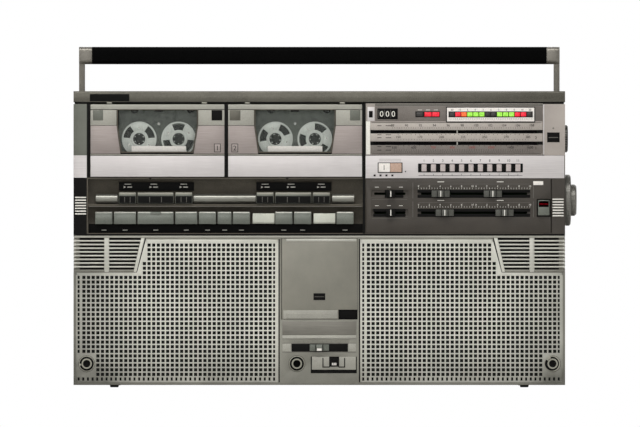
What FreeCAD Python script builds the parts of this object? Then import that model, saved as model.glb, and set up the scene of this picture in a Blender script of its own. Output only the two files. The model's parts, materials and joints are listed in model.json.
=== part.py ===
import FreeCAD, Part
import math
import os
import re
import Sketcher

# A twin-deck radio cassette player, in millimetres.
# X runs to the right as seen from the front, Y to the back, Z up.
# The origin is the middle of the whole object's footprint, on the surface it stands on.

os.makedirs("parts", exist_ok=True)
doc = FreeCAD.newDocument("cassette_player")

# ---------------------------------------------------------------- driving dimensions
sizes = {
    # case
    "caseWidth": 530, "caseDepth": 140, "footHeight": 2.7, "lowerHeight": 162.3,
    "controlHeight": 61.4, "deckHeight": 80.8, "railHeight": 12.3, "railDepth": 25,
    "topDrop": 16, "grooveRise": 2, "grooveDeep": 1.2, "faceDepth": 7, "shellWall": 3, "splitDepth": 62,
    # clearances
    "looseGap": 0.3, "runningGap": 0.05,
    # handle
    "handleRise": 48.5, "armInset": 4.9, "armWidth": 6.2, "armDepth": 11, "headWidth": 14,
    "gripHeight": 18.7, "gripDepth": 17, "gripRound": 5, "gripPin": 3, "handleSetback": 45,
    "earWidth": 6, "earRadius": 6, "armPin": 2.5,
    # cassette decks
    "sideColumn": 17.5, "doorWidth": 146, "doorGap": 2.4, "panelGap": 2.9, "doorPlate": 4,
    "doorTopGap": 1.6, "doorPivot": 1.5, "doorPin": 1.2, "doorPinLength": 0.9, "bayDepth": 20,
    "windowWidth": 86, "windowShift": 1.4, "windowLow": 27.5, "windowRise": 45.3,
    "glassThick": 2, "glassLap": 2, "holderWall": 2.5, "holderRise": 74,
    "tapeWidth": 100.4, "tapeHeight": 64, "tapeThick": 9, "tapeWall": 1, "tapeBump": 1.4,
    "tapeBumpHeight": 15, "tapeStart": 5.8, "tapeLow": 12.1, "hubSpan": 42.5, "hubFromTop": 34.5,
    "hubHole": 5.8, "reelRadius": 19, "reelThick": 5, "reelBoss": 5.5, "reelBore": 4.9,
    "toothReach": 0.7, "toothWide": 1.2, "spindleRadius": 2.6, "spindleCore": 1.8, "spindleTip": 10.8,
    "turntable": 6, "shaftRadius": 1.5, "chassisThick": 2,
    # key bay
    "keyBayLeft": 15.5, "keyBayDepth": 14, "keyBayWall": 3, "keyStart": 23.2, "keyGap": 1.5,
    "keyNarrow": 18.7, "keyMiddle": 24, "keyWide": 39.1, "keyExtra": 15.2, "keyLow": 11.2,
    "keyRise": 13.2, "upperKeyLow": 33.4, "upperKeyRise": 12.1, "keySet": 1, "keyThick": 8,
    "keyLip": 2, "stemWidth": 8, "stemRise": 4, "stemEnd": 24, "ledgeLow": 29.6, "ledgeRise": 3.2,
    # tuner and controls
    "dialMargin": 23.6, "dialThick": 2, "dialSlotRise": 3.9, "dialSlotHigh": 47.5,
    "dialSlotLow": 34.9, "dialSlotInset": 5, "pointerWidth": 1.6, "pointerSet": 98.9,
    "rightColumn": 14.4, "panelThick": 2.5, "panelLip": 2, "knobProud": 6, "trackRise": 7.6,
    "trackDeep": 1.2, "slitRise": 2.6, "slotStart": 57, "slotEnd": 38, "rowHigh": 17.5,
    "rowLow": 38, "capWidth": 19.4, "capRise": 7, "trebleSet": 24, "volumeSet": 40,
    "bassSet": 28.4, "balanceSet": 27.4, "switchStart": 6.4, "switchTrack": 39.6,
    "switchSet": 27.2, "switchWidth": 9.5, "powerWidth": 12.2, "powerRise": 16.2,
    "powerSet": 23.1, "powerDrop": 32.7,
    # side controls
    "knobStand": 13, "knobRadius": 27.7, "knobRim": 6.7, "knobInner": 16.7, "knobDrop": 24.4,
    "knobSetback": 33, "knobShaft": 3, "wheelRadius": 14.8, "wheelStand": 3.4, "wheelUp": 42,
    "wheelSetback": 24, "wheelShaft": 2,
    # speaker half
    "centreWidth": 85.5, "sheetEdge": 2.5, "sheetFoot": 2.8, "sheetTop": 5, "sheetInset": 0.5,
    "sheetThick": 1.2, "sheetLap": 3, "clothGap": 2.3, "louvreWidth": 77.7, "louvreRise": 40.6,
    "louvreSlant": 9.8, "louvreThick": 4, "slatPitch": 4, "slatCount": 9, "slatSlot": 2,
    "louvreInset": 9.8, "mullionStart": 33.1, "mullionWidth": 5.3, "wooferX": 112,
    "wooferZ": 78, "wooferRadius": 70, "wooferDepth": 52, "tweeterX": 38, "tweeterZ": 142.5,
    "tweeterRadius": 14, "jackX": 14.2, "jackZ": 23, "jackRing": 8.7, "jackBody": 5.4,
    "jackBore": 3.2, "jackDeep": 15, "centreJack": 24.2,
    # centre panel
    "hatchWidth": 82, "hatchLow": 70.9, "hatchRise": 86.8, "hatchThick": 3, "hatchPin": 1,
    "notchWidth": 20.3, "notchRise": 10.3, "boxMargin": 6, "boxDepth": 54, "boxWall": 2,
    "mixSlot": 60, "mixUp": 40.3, "mixCap": 20.7, "levelSlot": 23.4, "levelSet": 16,
    "levelUp": 24.8, "levelCap": 9,
    # back
    "coverStart": 150, "coverWidth": 230, "coverLow": 16, "coverRise": 68, "coverThick": 2.5,
    "cellDepth": 36, "antennaInset": 30, "antennaSetback": 125, "antennaUp": 6,
    "antennaRadius": 3.5, "antennaBore": 2.85, "antennaLength": 170, "antennaTip": 8,
    "lugThick": 2, "lugGap": 0.4, "screwInset": 20, "screwHead": 3.5, "screwShaft": 1.6,
    "screwLength": 14, "bossRadius": 5, "footRadius": 5, "footInsetX": 43.7, "footInsetY": 16,
    # deck mechanisms
    "tapeHeadWidth": 14, "tapeHeadSet": 12, "tapeHeadDrop": 3.2, "tapeHeadRise": 2.4,
    "motorSet": 24, "motorUp": 22, "motorRadius": 15, "motorLength": 24, "flywheelNear": 4,
    "flywheelFar": 46, "flywheelUp": 26, "flywheelRadius": 19, "flywheelThick": 5,
    "flywheelGap": 5, "flywheelShaft": 2, "solenoidSet": 16, "solenoidWidth": 26,
    "solenoidDepth": 16, "solenoidUp": 52, "solenoidRise": 18,
    # boards, transformer and mains inlet
    "boardSet": 30, "boardThick": 1.6, "boardEdge": 8, "boardEnd": 24, "boardLow": 6,
    "boardTop": 2, "postRadius": 2.5, "canStart": 40, "canPitch": 22, "canRadius": 5,
    "canLength": 14, "canUp": 40, "chipWidth": 12, "chipThick": 5, "chipUp": 20, "chipRise": 8,
    "coreSet": 110, "coreWidth": 56, "coreGap": 10, "coreDepth": 40, "coreRise": 42,
    "mountWidth": 68, "mountDepth": 28, "mountThick": 3, "inletSet": 86, "inletWidth": 22,
    "inletDepth": 20, "inletUp": 24, "inletRise": 14, "inletRim": 4,
}

sheet = doc.addObject("Spreadsheet::Sheet", "dims")
for row, (alias, value) in enumerate(sizes.items(), start=1):
    sheet.set(f"A{row}", alias)
    sheet.set(f"B{row}", str(value))
    sheet.setAlias(f"B{row}", alias)
doc.recompute()

# Places worked out from the sizes. Each name stands for its expression wherever it is used.
places = {
    "caseLeft": "-knobStand/2 - caseWidth/2",
    "caseRight": "caseWidth/2 - knobStand/2",
    "caseMid": "-knobStand/2",
    "face": "(knobProud - caseDepth)/2",
    "back": "face + caseDepth",
    "split": "face + splitDepth",
    "bandLow": "footHeight + lowerHeight",
    "deckLow": "bandLow + controlHeight",
    "railLow": "deckLow + deckHeight",
    "caseTop": "railLow + railHeight",
    "lid": "caseTop - topDrop",
    "deckPitch": "doorWidth + doorGap",
    "deckEnd": "sideColumn + 2*doorWidth + doorGap",
    "tunerStart": "caseLeft + deckEnd + panelGap",
    "doorLow": "deckLow + looseGap",
    "doorRise": "deckHeight - doorTopGap - looseGap",
    "pivotZ": "doorLow + doorPivot",
    "pivotY": "face + doorPivot",
    "tapeBase": "deckLow + tapeLow",
    "hubZ": "tapeBase + tapeHeight - hubFromTop",
    "windowZ": "deckLow + windowLow",
    "handleY": "face + handleSetback",
    "handleZ": "lid + gripDepth/2 + 0.5",
    "gripTop": "caseTop + handleRise",
    "gripLow": "gripTop - gripHeight",
    "bayBack": "face + keyBayDepth",
    "slotLeft": "tunerStart + slotStart",
    "slotRight": "caseRight - slotEnd",
    "rowOne": "deckLow - rowHigh",
    "rowTwo": "deckLow - rowLow",
    "panelWidth": "caseRight - rightColumn - tunerStart",
    "dialWidth": "caseRight - dialMargin - tunerStart",
    "hatchLeft": "caseMid - hatchWidth/2",
    "hatchZ": "footHeight + hatchLow",
    "boxLeft": "hatchLeft + boxMargin",
    "boxLow": "hatchZ + notchRise + boxWall",
    "boxWide": "hatchWidth - 2*boxMargin",
    "boxHigh": "hatchRise - notchRise - boxWall - boxMargin",
    "sheetWide": "(caseWidth - centreWidth)/2 - sheetEdge",
    "sheetLow": "footHeight + sheetFoot",
    "sheetHigh": "bandLow - sheetTop",
    "louvreLow": "bandLow - louvreRise",
    "sheetFace": "face + sheetInset",
    "antennaX": "caseRight - antennaInset",
    "antennaY": "face + antennaSetback",
    "antennaZ": "lid + antennaUp",
}

word = re.compile(r"[A-Za-z][A-Za-z0-9]*")


def expand(text):
    # An expression in plain names becomes one that reads the sheet.
    def swap(match):
        name = match.group(0)
        if name in places:
            return "(" + expand(places[name]) + ")"
        if name in sizes:
            return "dims." + name
        return name
    return word.sub(swap, str(text))


def number(text):
    return float(sheet.evalExpression(expand(text)))


def bind(thing, prop, text):
    thing.setExpression(prop, expand(text))


def place(thing, x=None, y=None, z=None):
    for axis, text in (("x", x), ("y", y), ("z", z)):
        if text is not None:
            bind(thing, "Placement.Base." + axis, text)


# ---------------------------------------------------------------- makers
turns = {
    "x": FreeCAD.Rotation(FreeCAD.Vector(0, 1, 0), 90),
    "y": FreeCAD.Rotation(FreeCAD.Vector(1, 0, 0), -90),
    "z": FreeCAD.Rotation(),
}
counter = {}
nodes = []


def unique(name):
    counter[name] = counter.get(name, 0) + 1
    return f"{name}Shape{counter[name]}"


def box(name, x, y, z):
    # x, y and z are pairs: where the block starts and how long it is
    made = doc.addObject("Part::Box", unique(name))
    for prop, pair in zip(("Length", "Width", "Height"), (x, y, z)):
        bind(made, prop, pair[1])
    place(made, x[0], y[0], z[0])
    return made


def rod(name, axis, x, y, z, radius, length):
    made = doc.addObject("Part::Cylinder", unique(name))
    made.Placement = FreeCAD.Placement(FreeCAD.Vector(), turns[axis])
    bind(made, "Radius", radius)
    bind(made, "Height", length)
    place(made, x, y, z)
    return made


def cone(name, axis, x, y, z, radii, length):
    made = doc.addObject("Part::Cone", unique(name))
    made.Placement = FreeCAD.Placement(FreeCAD.Vector(), turns[axis])
    bind(made, "Radius1", radii[0])
    bind(made, "Radius2", radii[1])
    bind(made, "Height", length)
    place(made, x, y, z)
    return made


def fuse(name, *parts):
    if len(parts) == 1:
        return parts[0]
    made = doc.addObject("Part::MultiFuse", unique(name))
    made.Shapes = list(parts)
    return made


def cut(name, base, *tools):
    made = doc.addObject("Part::Cut", unique(name))
    made.Base = base
    made.Tool = fuse(name + "Tools", *tools)
    return made


def group(name, *parts):
    made = doc.addObject("Part::Compound", unique(name))
    made.Links = list(parts)
    return made


def node(label, thing):
    thing.Label = label
    nodes.append(thing)
    return thing


def body(name, x=None, y=None, z=None):
    made = doc.addObject("PartDesign::Body", unique(name))
    place(made, x, y, z)
    return made


def sketch(owner, role, outline, lift=None):
    # A closed outline of straight runs on one of the body's own planes
    plane = next(f for f in owner.Origin.OriginFeatures if f.Role == role)
    made = owner.newObject("Sketcher::SketchObject", owner.Name + "Sketch")
    made.AttachmentSupport = [(plane, "")]
    made.MapMode = "FlatFace"
    if lift is not None:
        bind(made, "AttachmentOffset.Base.z", lift)
    spots = [FreeCAD.Vector(number(u), number(v), 0) for u, v in outline]
    total = len(outline)
    for i in range(total):
        made.addGeometry(Part.LineSegment(spots[i], spots[(i + 1) % total]), False)
    for i in range(total):
        made.addConstraint(Sketcher.Constraint("Coincident", i, 2, (i + 1) % total, 1))
    for i, (u, v) in enumerate(outline):
        for kind, text, axis in (("DistanceX", u, -2), ("DistanceY", v, -1)):
            if str(text) == "0":
                made.addConstraint(Sketcher.Constraint("PointOnObject", i, 1, axis))
                continue
            at = made.addConstraint(Sketcher.Constraint(kind, -1, 1, i, 1, number(text)))
            bind(made, f"Constraints[{at}]", text)
    return made


def pad(owner, role, outline, length, lift=None):
    made = owner.newObject("PartDesign::Pad", owner.Name + "Pad")
    made.Profile = sketch(owner, role, outline, lift)
    bind(made, "Length", length)
    return made


def turned(owner, outline, axis):
    # A revolved solid: the outline is drawn on the XY plane about one of its own axes
    made = owner.newObject("PartDesign::Revolution", owner.Name + "Turn")
    profile = sketch(owner, "XY_Plane", outline)
    made.Profile = profile
    made.ReferenceAxis = (profile, [axis])
    made.Angle = 360
    return made


def roundEdges(owner, direction, radius, inside=None):
    # Rounds the tip's long edges that run along one direction
    doc.recompute()
    tip = owner.Tip
    names = []
    for index, edge in enumerate(tip.Shape.Edges, start=1):
        if not isinstance(edge.Curve, Part.Line):
            continue
        if edge.Curve.Direction.cross(FreeCAD.Vector(*direction)).Length > 0.001:
            continue
        if inside is None or inside(edge.CenterOfMass):
            names.append(f"Edge{index}")
    made = owner.newObject("PartDesign::Fillet", owner.Name + "Round")
    made.Base = (tip, names)
    bind(made, "Radius", radius)
    return made


# ---------------------------------------------------------------- front cabinet
def hatchBox(name):
    # The storage box behind the middle door, as an outer block and its hollow
    outer = box(name, ("boxLeft - boxWall", "boxWide + 2*boxWall"), ("face + hatchThick", "boxDepth"),
                ("boxLow - boxWall", "boxHigh + 2*boxWall"))
    hollow = box(name, ("boxLeft", "boxWide"), ("face - 1", "boxDepth + 1"), ("boxLow", "boxHigh"))
    return outer, hollow


def mirrorX(start, width):
    # The same block on the right half: where it starts when measured from the right edge
    return f"caseRight - ({start}) - ({width})"


def sheetOutline(side):
    # The speaker sheet runs round the louvres with a slanted step
    near = "caseLeft + sheetEdge" if side == "left" else "caseRight - sheetEdge"
    sign = "+" if side == "left" else "-"
    edge = "caseLeft" if side == "left" else "caseRight"
    return [(near, "sheetLow"), (f"{near} {sign} sheetWide", "sheetLow"),
            (f"{near} {sign} sheetWide", "sheetHigh"),
            (f"{edge} {sign} (louvreWidth + looseGap)", "sheetHigh"),
            (f"{edge} {sign} (louvreWidth + looseGap - louvreSlant)", "louvreLow - looseGap"),
            (near, "louvreLow - looseGap")]


def frontCabinet():
    name = "frontCabinet"
    shell = box(name, ("caseLeft", "caseWidth"), ("face", "splitDepth"), ("footHeight", "lid - footHeight"))
    rail = box(name, ("caseLeft", "caseWidth"), ("face", "railDepth"), ("lid", "topDrop"))
    inside = box(name, ("caseLeft + shellWall", "caseWidth - 2*shellWall"),
                 ("face + faceDepth", "splitDepth"),
                 ("footHeight + shellWall", "lid - footHeight - 2*shellWall"))
    hollowed = cut(name, fuse(name, shell, rail), inside)

    # walls that frame the deck bays, the key bay and the storage box
    deckWide = "deckEnd - sideColumn"
    bayFrame = box(name, ("caseLeft + sideColumn - shellWall", deckWide + " + 2*shellWall"),
                   ("face + 1", "bayDepth - 1"), ("deckLow - shellWall", "deckHeight + 2*shellWall - 2"))
    keyFrame = box(name, ("caseLeft + keyBayLeft - shellWall", "deckEnd - keyBayLeft + 2*shellWall"),
                   ("face + 1", "keyBayDepth + keyBayWall - 1"), ("bandLow - shellWall",
                                                                  "controlHeight + shellWall"))
    outerBox, hollow = hatchBox(name)
    ears = []
    for start in ("caseLeft + armInset + armWidth + 0.4", mirrorX("armInset + armWidth + 0.4", "earWidth")):
        ears.append(rod(name, "x", start, "handleY", "handleZ", "earRadius", "earWidth"))
        ears.append(box(name, (start, "earWidth"), ("handleY - earRadius", "2*earRadius"),
                        ("lid - 1", "handleZ - lid + 1")))
    solid = fuse(name, hollowed, bayFrame, keyFrame, outerBox, *ears)

    # a shadow line under the rail, round the front and both sides
    grooveZ = ("railLow - grooveRise + 0.4", "grooveRise")
    ring = box(name, ("caseLeft - 1", "caseWidth + 2"), ("face - 1", "splitDepth + 2"), grooveZ)
    core = box(name, ("caseLeft + grooveDeep", "caseWidth - 2*grooveDeep"),
               ("face + grooveDeep", "splitDepth + 2"),
               grooveZ)
    tools = [hollow, cut(name, ring, core)]
    # two deck bays with a thin post between them
    for start in ("caseLeft + sideColumn", "caseLeft + sideColumn + deckPitch"):
        tools.append(box(name, (start, "doorWidth"), ("face - 1", "bayDepth + 2"),
                         ("deckLow", "deckHeight - 0.4")))
        tools.append(rod(name, "x", start + " - doorPinLength - looseGap", "pivotY", "pivotZ",
                         "doorPin + runningGap", "doorWidth + 2*doorPinLength + 2*looseGap"))
    # a slot under the rail for the top of the deck chassis
    tools.append(box(name, ("caseLeft + sideColumn - 1 - looseGap", deckWide + " + 2 + 2*looseGap"),
                     ("face + bayDepth", "chassisThick + looseGap"),
                     ("lid - shellWall - 1", "railLow - lid + shellWall + 1 + looseGap")))
    # the key bay with its dividing ledge
    tools.append(box(name, ("caseLeft + keyBayLeft", "deckEnd - keyBayLeft"), ("face - 1", "keyBayDepth + 1"),
                     ("bandLow + 1.5", "controlHeight - 3")))
    # seats of the dial plate and the control panel, each with an opening behind its lip
    seats = (("dialWidth", "deckLow + 24", "railLow - deckLow - 24.6", "dialThick"),
             ("panelWidth", "bandLow + 1.2", "deckLow - bandLow - 2.4", "panelThick"))
    for wide, low, rise, deep in seats:
        tools.append(box(name, ("tunerStart", wide), ("face - 1", deep + " + 1"), (low, rise)))
        tools.append(box(name, ("tunerStart + panelLip", wide + " - 2*panelLip"), ("face", "faceDepth + 1"),
                         (low + " + panelLip", rise + " - 2*panelLip")))
    # storage door seat, its finger notch and its hinge holes
    tools.append(box(name, ("hatchLeft - looseGap", "hatchWidth + 2*looseGap"),
                     ("face - 1", "hatchThick + 1.3"),
                     ("hatchZ - looseGap", "hatchRise + 2*looseGap")))
    tools.append(box(name, ("hatchLeft + hatchWidth - notchWidth", "notchWidth"), ("face", "faceDepth - 1"),
                     ("hatchZ", "notchRise - 1")))
    tools.append(rod(name, "z", "hatchLeft + hatchThick/2", "face + hatchThick/2", "hatchZ - 2",
                     "hatchPin + runningGap", "hatchRise + 4"))
    # speaker sheets in a two-step recess, with holes for the speakers behind
    for side, edge, sign in (("left", "caseLeft", "+"), ("right", "caseRight", "-")):
        well = body(name, y="face + sheetInset + sheetThick")
        pad(well, "XZ_Plane", sheetOutline(side), "4")
        tools.append(well)
        start = "caseLeft + sheetEdge + sheetLap" if side == "left" else \
            mirrorX("sheetEdge + sheetLap", "sheetWide - 2*sheetLap")
        cloth = "sheetInset + sheetThick + clothGap"
        tools.append(box(name, (start, "sheetWide - 2*sheetLap"), ("face - 1", cloth + " + 1"),
                         ("sheetLow + sheetLap", "louvreLow - sheetLow - 2*sheetLap")))
        inner = "louvreWidth + sheetLap"
        upper = f"caseLeft + {inner}" if side == "left" else \
            mirrorX(inner, "sheetWide + sheetEdge - sheetLap - louvreWidth - sheetLap")
        tools.append(box(name, (upper, "sheetWide + sheetEdge - sheetLap - louvreWidth - sheetLap"),
                         ("face - 1", cloth + " + 1"), ("louvreLow - 2*sheetLap",
                                                        "sheetHigh - louvreLow + sheetLap")))
        tools.append(rod(name, "y", f"{edge} {sign} wooferX", "face", "wooferZ",
                         "wooferRadius - 4", "faceDepth + 1"))
        tools.append(rod(name, "y", f"{edge} {sign} tweeterX", "face", "tweeterZ", "tweeterRadius",
                         "faceDepth + 1"))
        louvreX = edge if side == "left" else "caseRight - louvreWidth"
        tools.append(box(name, (louvreX, "louvreWidth"), ("face - 1", "louvreThick + 1"),
                         ("louvreLow", "slatPitch*slatCount + 4")))
        # grooves that carry the louvre lines round the case's corner
        for slat in range(int(sizes["slatCount"])):
            tools.append(box(name, (f"{edge} - 0.8", "1.6"), ("face + louvreThick", "18"),
                             (f"louvreLow + 4 + {slat}*slatPitch", "slatSlot")))
        # jack and its barrel
        tools.append(rod(name, "y", f"{edge} {sign} jackX", "face - 1", "footHeight + jackZ",
                         "jackBody + runningGap", "faceDepth + 2"))
    tools.append(rod(name, "y", "caseMid - centreJack", "face - 1", "footHeight + jackZ",
                     "jackBody + runningGap", "faceDepth + 2"))
    # tracks and slits of the two small sliders in the middle panel
    for slot, setting, up in (("mixSlot", "0", "mixUp"), ("levelSlot", "levelSet", "levelUp")):
        tools.append(box(name, (f"caseMid + {setting} - {slot}/2", slot), ("face - 1", "trackDeep + 1"),
                         (f"footHeight + {up} - trackRise/2", "trackRise")))
        tools.append(box(name, (f"caseMid + {setting} - {slot}/2 + 2", f"{slot} - 4"),
                         ("face", "faceDepth + 1"),
                         (f"footHeight + {up} - slitRise/2", "slitRise")))
    # bores for the tuning knob, the band wheel and the handle's pins
    tools.append(rod(name, "x", "caseRight - shellWall - 1", "face + knobSetback", "deckLow - knobDrop",
                     "knobShaft + runningGap", "shellWall + 2"))
    tools.append(rod(name, "x", "caseRight - shellWall - 1", "face + wheelSetback", "deckLow + wheelUp",
                     "wheelShaft + runningGap", "shellWall + 2"))
    for start in ("caseLeft + armInset", mirrorX("armInset", "headWidth")):
        tools.append(rod(name, "x", start, "handleY", "handleZ", "armPin + runningGap", "headWidth"))
    # slots for the key stems
    for left, wide, low, rise in keyPlan():
        tools.append(box(name, (f"{left} + {wide}/2 - stemWidth/2 - looseGap", "stemWidth + 2*looseGap"),
                         ("bayBack - 1", "keyBayWall + 2"),
                         (f"bandLow + {low} + {rise}/2 - stemRise/2 - looseGap", "stemRise + 2*looseGap")))
    ledge = box(name, ("caseLeft + keyBayLeft", "deckEnd - keyBayLeft"), ("face + 3", "keyBayDepth - 3"),
                ("bandLow + ledgeLow", "ledgeRise"))
    return node("front_cabinet", fuse(name, cut(name, solid, *tools), ledge))


# ---------------------------------------------------------------- keys
lowerKeys = ("left_pause_key", "left_record_key", "left_play_key", "left_rewind_key", "left_stop_key",
             "left_forward_key", "right_pause_key", "right_rewind_key", "right_forward_key", "right_play_key")
upperKeys = ("left_search_back_key", "left_search_key", "left_search_forward_key",
             "right_search_back_key", "right_search_key", "right_search_forward_key")


def lowerPlan():
    # Left deck: five keys and an extra one. Right deck: the second and fourth places hold fillers,
    # and its wide place is split in two.
    step = "caseLeft + keyStart"
    second = f"{step} + keyNarrow + keyGap"
    third = f"{second} + keyMiddle + keyGap"
    fourth = f"{third} + keyWide + keyGap"
    fifth = f"{fourth} + keyMiddle + keyGap"
    sixth = f"{fifth} + keyNarrow + keyGap"
    half = "(keyWide - keyGap)/2"
    left = [(step, "keyNarrow"), (second, "keyMiddle"), (third, "keyWide"), (fourth, "keyMiddle"),
            (fifth, "keyNarrow"), (sixth, "keyExtra")]
    right = [(f"{step} + deckPitch", "keyNarrow"), (f"{third} + deckPitch", half),
             (f"{third} + deckPitch + {half} + keyGap", half), (f"{fifth} + deckPitch", "keyNarrow")]
    return left + right


def upperPlan():
    second = "caseLeft + keyStart + keyNarrow + keyGap"
    third = f"{second} + keyMiddle + keyGap"
    fourth = f"{third} + keyWide + keyGap"
    row = [(f"{third} - keyGap - keyNarrow", "keyNarrow"), (third, "keyWide"), (fourth, "keyNarrow")]
    return row + [(f"{left} + deckPitch", wide) for left, wide in row]


def keyPlan():
    lower = [(left, wide, "keyLow", "keyRise") for left, wide in lowerPlan()]
    return lower + [(left, wide, "upperKeyLow", "upperKeyRise") for left, wide in upperPlan()]


def keys():
    labels = lowerKeys + upperKeys
    for label, (left, wide, low, rise) in zip(labels, keyPlan()):
        base = f"bandLow + {low}"
        cap = body(label, x=left)
        pad(cap, "YZ_Plane", [("face + keySet", base), ("face + keySet", f"{base} + {rise} - keyLip"),
                              ("face + keySet + keyLip", f"{base} + {rise}"),
                              ("face + keySet + keyThick", f"{base} + {rise}"),
                              ("face + keySet + keyThick", base)], wide)
        middle = f"{base} + {rise}/2"
        pad(cap, "YZ_Plane", [("face + keySet + keyThick - 1", f"{middle} - stemRise/2"),
                              ("face + keySet + keyThick - 1", f"{middle} + stemRise/2"),
                              ("face + stemEnd", f"{middle} + stemRise/2"),
                              ("face + stemEnd", f"{middle} - stemRise/2")], "stemWidth",
            f"({wide} - stemWidth)/2")
        node(label, cap)


# ---------------------------------------------------------------- rear cabinet and what it carries
def screwSpots():
    # Four corners and two in the middle of the back
    spots = []
    for across in ("caseLeft + screwInset", "caseMid", "caseRight - screwInset"):
        spots.append((across, "footHeight + shellWall + bossRadius + 1"))
        spots.append((across, "lid - shellWall - bossRadius - 1"))
    return spots


def rearCabinet():
    name = "rearCabinet"
    depth = "back - split"
    shell = box(name, ("caseLeft", "caseWidth"), ("split", depth), ("footHeight", "lid - footHeight"))
    inside = box(name, ("caseLeft + shellWall", "caseWidth - 2*shellWall"),
                 ("split - 1", depth + " - shellWall + 1"),
                 ("footHeight + shellWall", "lid - footHeight - 2*shellWall"))
    additions = [cut(name, shell, inside)]
    additions.append(box(name, ("caseLeft + coverStart - boxWall", "coverWidth + 2*boxWall"),
                         ("back - coverThick - cellDepth - boxWall", "cellDepth + boxWall + 1"),
                         ("footHeight + coverLow - boxWall", "coverRise + 2*boxWall")))
    for across, up in screwSpots():
        additions.append(rod(name, "y", across, "split", up, "bossRadius", depth + " - 1"))
    # two lugs that hold the antenna's foot, and a rest near its tip
    for start in ("antennaY - antennaRadius - lugGap - lugThick", "antennaY + antennaRadius + lugGap"):
        additions.append(box(name, ("antennaX - 5", "10"), (start, "lugThick"), ("lid - 1", "antennaUp + 5")))
    additions.append(box(name, ("antennaX - antennaLength + 20", "6"), ("antennaY - 3", "6"),
                         ("lid - 1", "antennaUp - antennaRadius - looseGap + 1")))
    tools = [box(name, ("caseLeft + coverStart", "coverWidth"), ("back - coverThick", "coverThick + 1"),
                 ("footHeight + coverLow", "coverRise")),
             box(name, ("caseLeft + coverStart + boxWall", "coverWidth - 2*boxWall"),
                 ("back - coverThick - cellDepth", "cellDepth + 1"),
                 ("footHeight + coverLow + boxWall", "coverRise - 2*boxWall"))]
    for across, up in screwSpots():
        tools.append(rod(name, "y", across, "back - 3", up, "screwHead + looseGap", "4"))
        tools.append(rod(name, "y", across, "back - screwLength - 5", up, "screwShaft + runningGap",
                         "screwLength + 5"))
    tools.append(rod(name, "y", "antennaX", "antennaY - 8", "antennaZ", "shaftRadius + runningGap", "16"))
    # the mains inlet's pocket
    tools.append(box(name, ("caseRight - inletSet - inletRim", "inletWidth + 2*inletRim"),
                     ("back - 1.5", "3"),
                     ("footHeight + inletUp - inletRim", "inletRise + 2*inletRim")))
    return node("rear_cabinet", cut(name, fuse(name, *additions), *tools))


def rearPieces():
    cover = box("cover", ("caseLeft + coverStart + looseGap", "coverWidth - 2*looseGap"),
                ("back - coverThick", "coverThick"), ("footHeight + coverLow + looseGap",
                                                      "coverRise - 2*looseGap"))
    grip = box("cover", ("caseLeft + coverStart + coverWidth/2 - 15", "30"), ("back - 1.5", "2"),
               ("footHeight + coverLow + coverRise - 14", "6"))
    node("battery_cover", cut("cover", cover, grip))
    screws = []
    for across, up in screwSpots():
        head = rod("screw", "y", across, "back - 3", up, "screwHead", "2.2")
        slot = box("screw", (f"{across} - screwHead", "2*screwHead"), ("back - 1.6", "2"),
                   (f"{up} - 0.4", "0.8"))
        shaft = rod("screw", "y", across, "back - screwLength", up, "screwShaft", "screwLength - 2")
        screws.append(cut("screw", fuse("screw", head, shaft), slot))
    node("case_screws", group("screws", *screws))
    feet = []
    for x in ("caseLeft + footInsetX", "caseRight - footInsetX"):
        for y in ("face + footInsetY", "back - footInsetY"):
            feet.append(cone("foot", "z", x, y, "0", ("footRadius - 0.6", "footRadius"), "footHeight"))
    node("rubber_feet", group("feet", *feet))


def antenna():
    tube = rod("antenna", "x", "antennaX - antennaLength", "antennaY", "antennaZ", "antennaRadius",
               "antennaLength - 6")
    eye = box("antenna", ("antennaX - 6 - 1", "11"), ("antennaY - antennaRadius", "2*antennaRadius"),
              ("antennaZ - antennaRadius", "2*antennaRadius"))
    pin = rod("antenna", "y", "antennaX", "antennaY - antennaRadius - lugGap - lugThick", "antennaZ",
              "shaftRadius", "2*(antennaRadius + lugGap + lugThick)")
    bore = rod("antenna", "x", "antennaX - antennaLength - 1", "antennaY", "antennaZ", "antennaBore",
               "antennaLength - 11")
    node("antenna_tube", cut("antenna", fuse("antenna", tube, eye, pin), bore))
    stick = rod("antenna", "x", "antennaX - antennaLength - 1", "antennaY", "antennaZ",
                "antennaBore - runningGap", "antennaLength - 12")
    tip = rod("antenna", "x", "antennaX - antennaLength - antennaTip - 0.4", "antennaY", "antennaZ",
              "antennaRadius", "antennaTip")
    node("antenna_rod", fuse("antenna", stick, tip))


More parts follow.
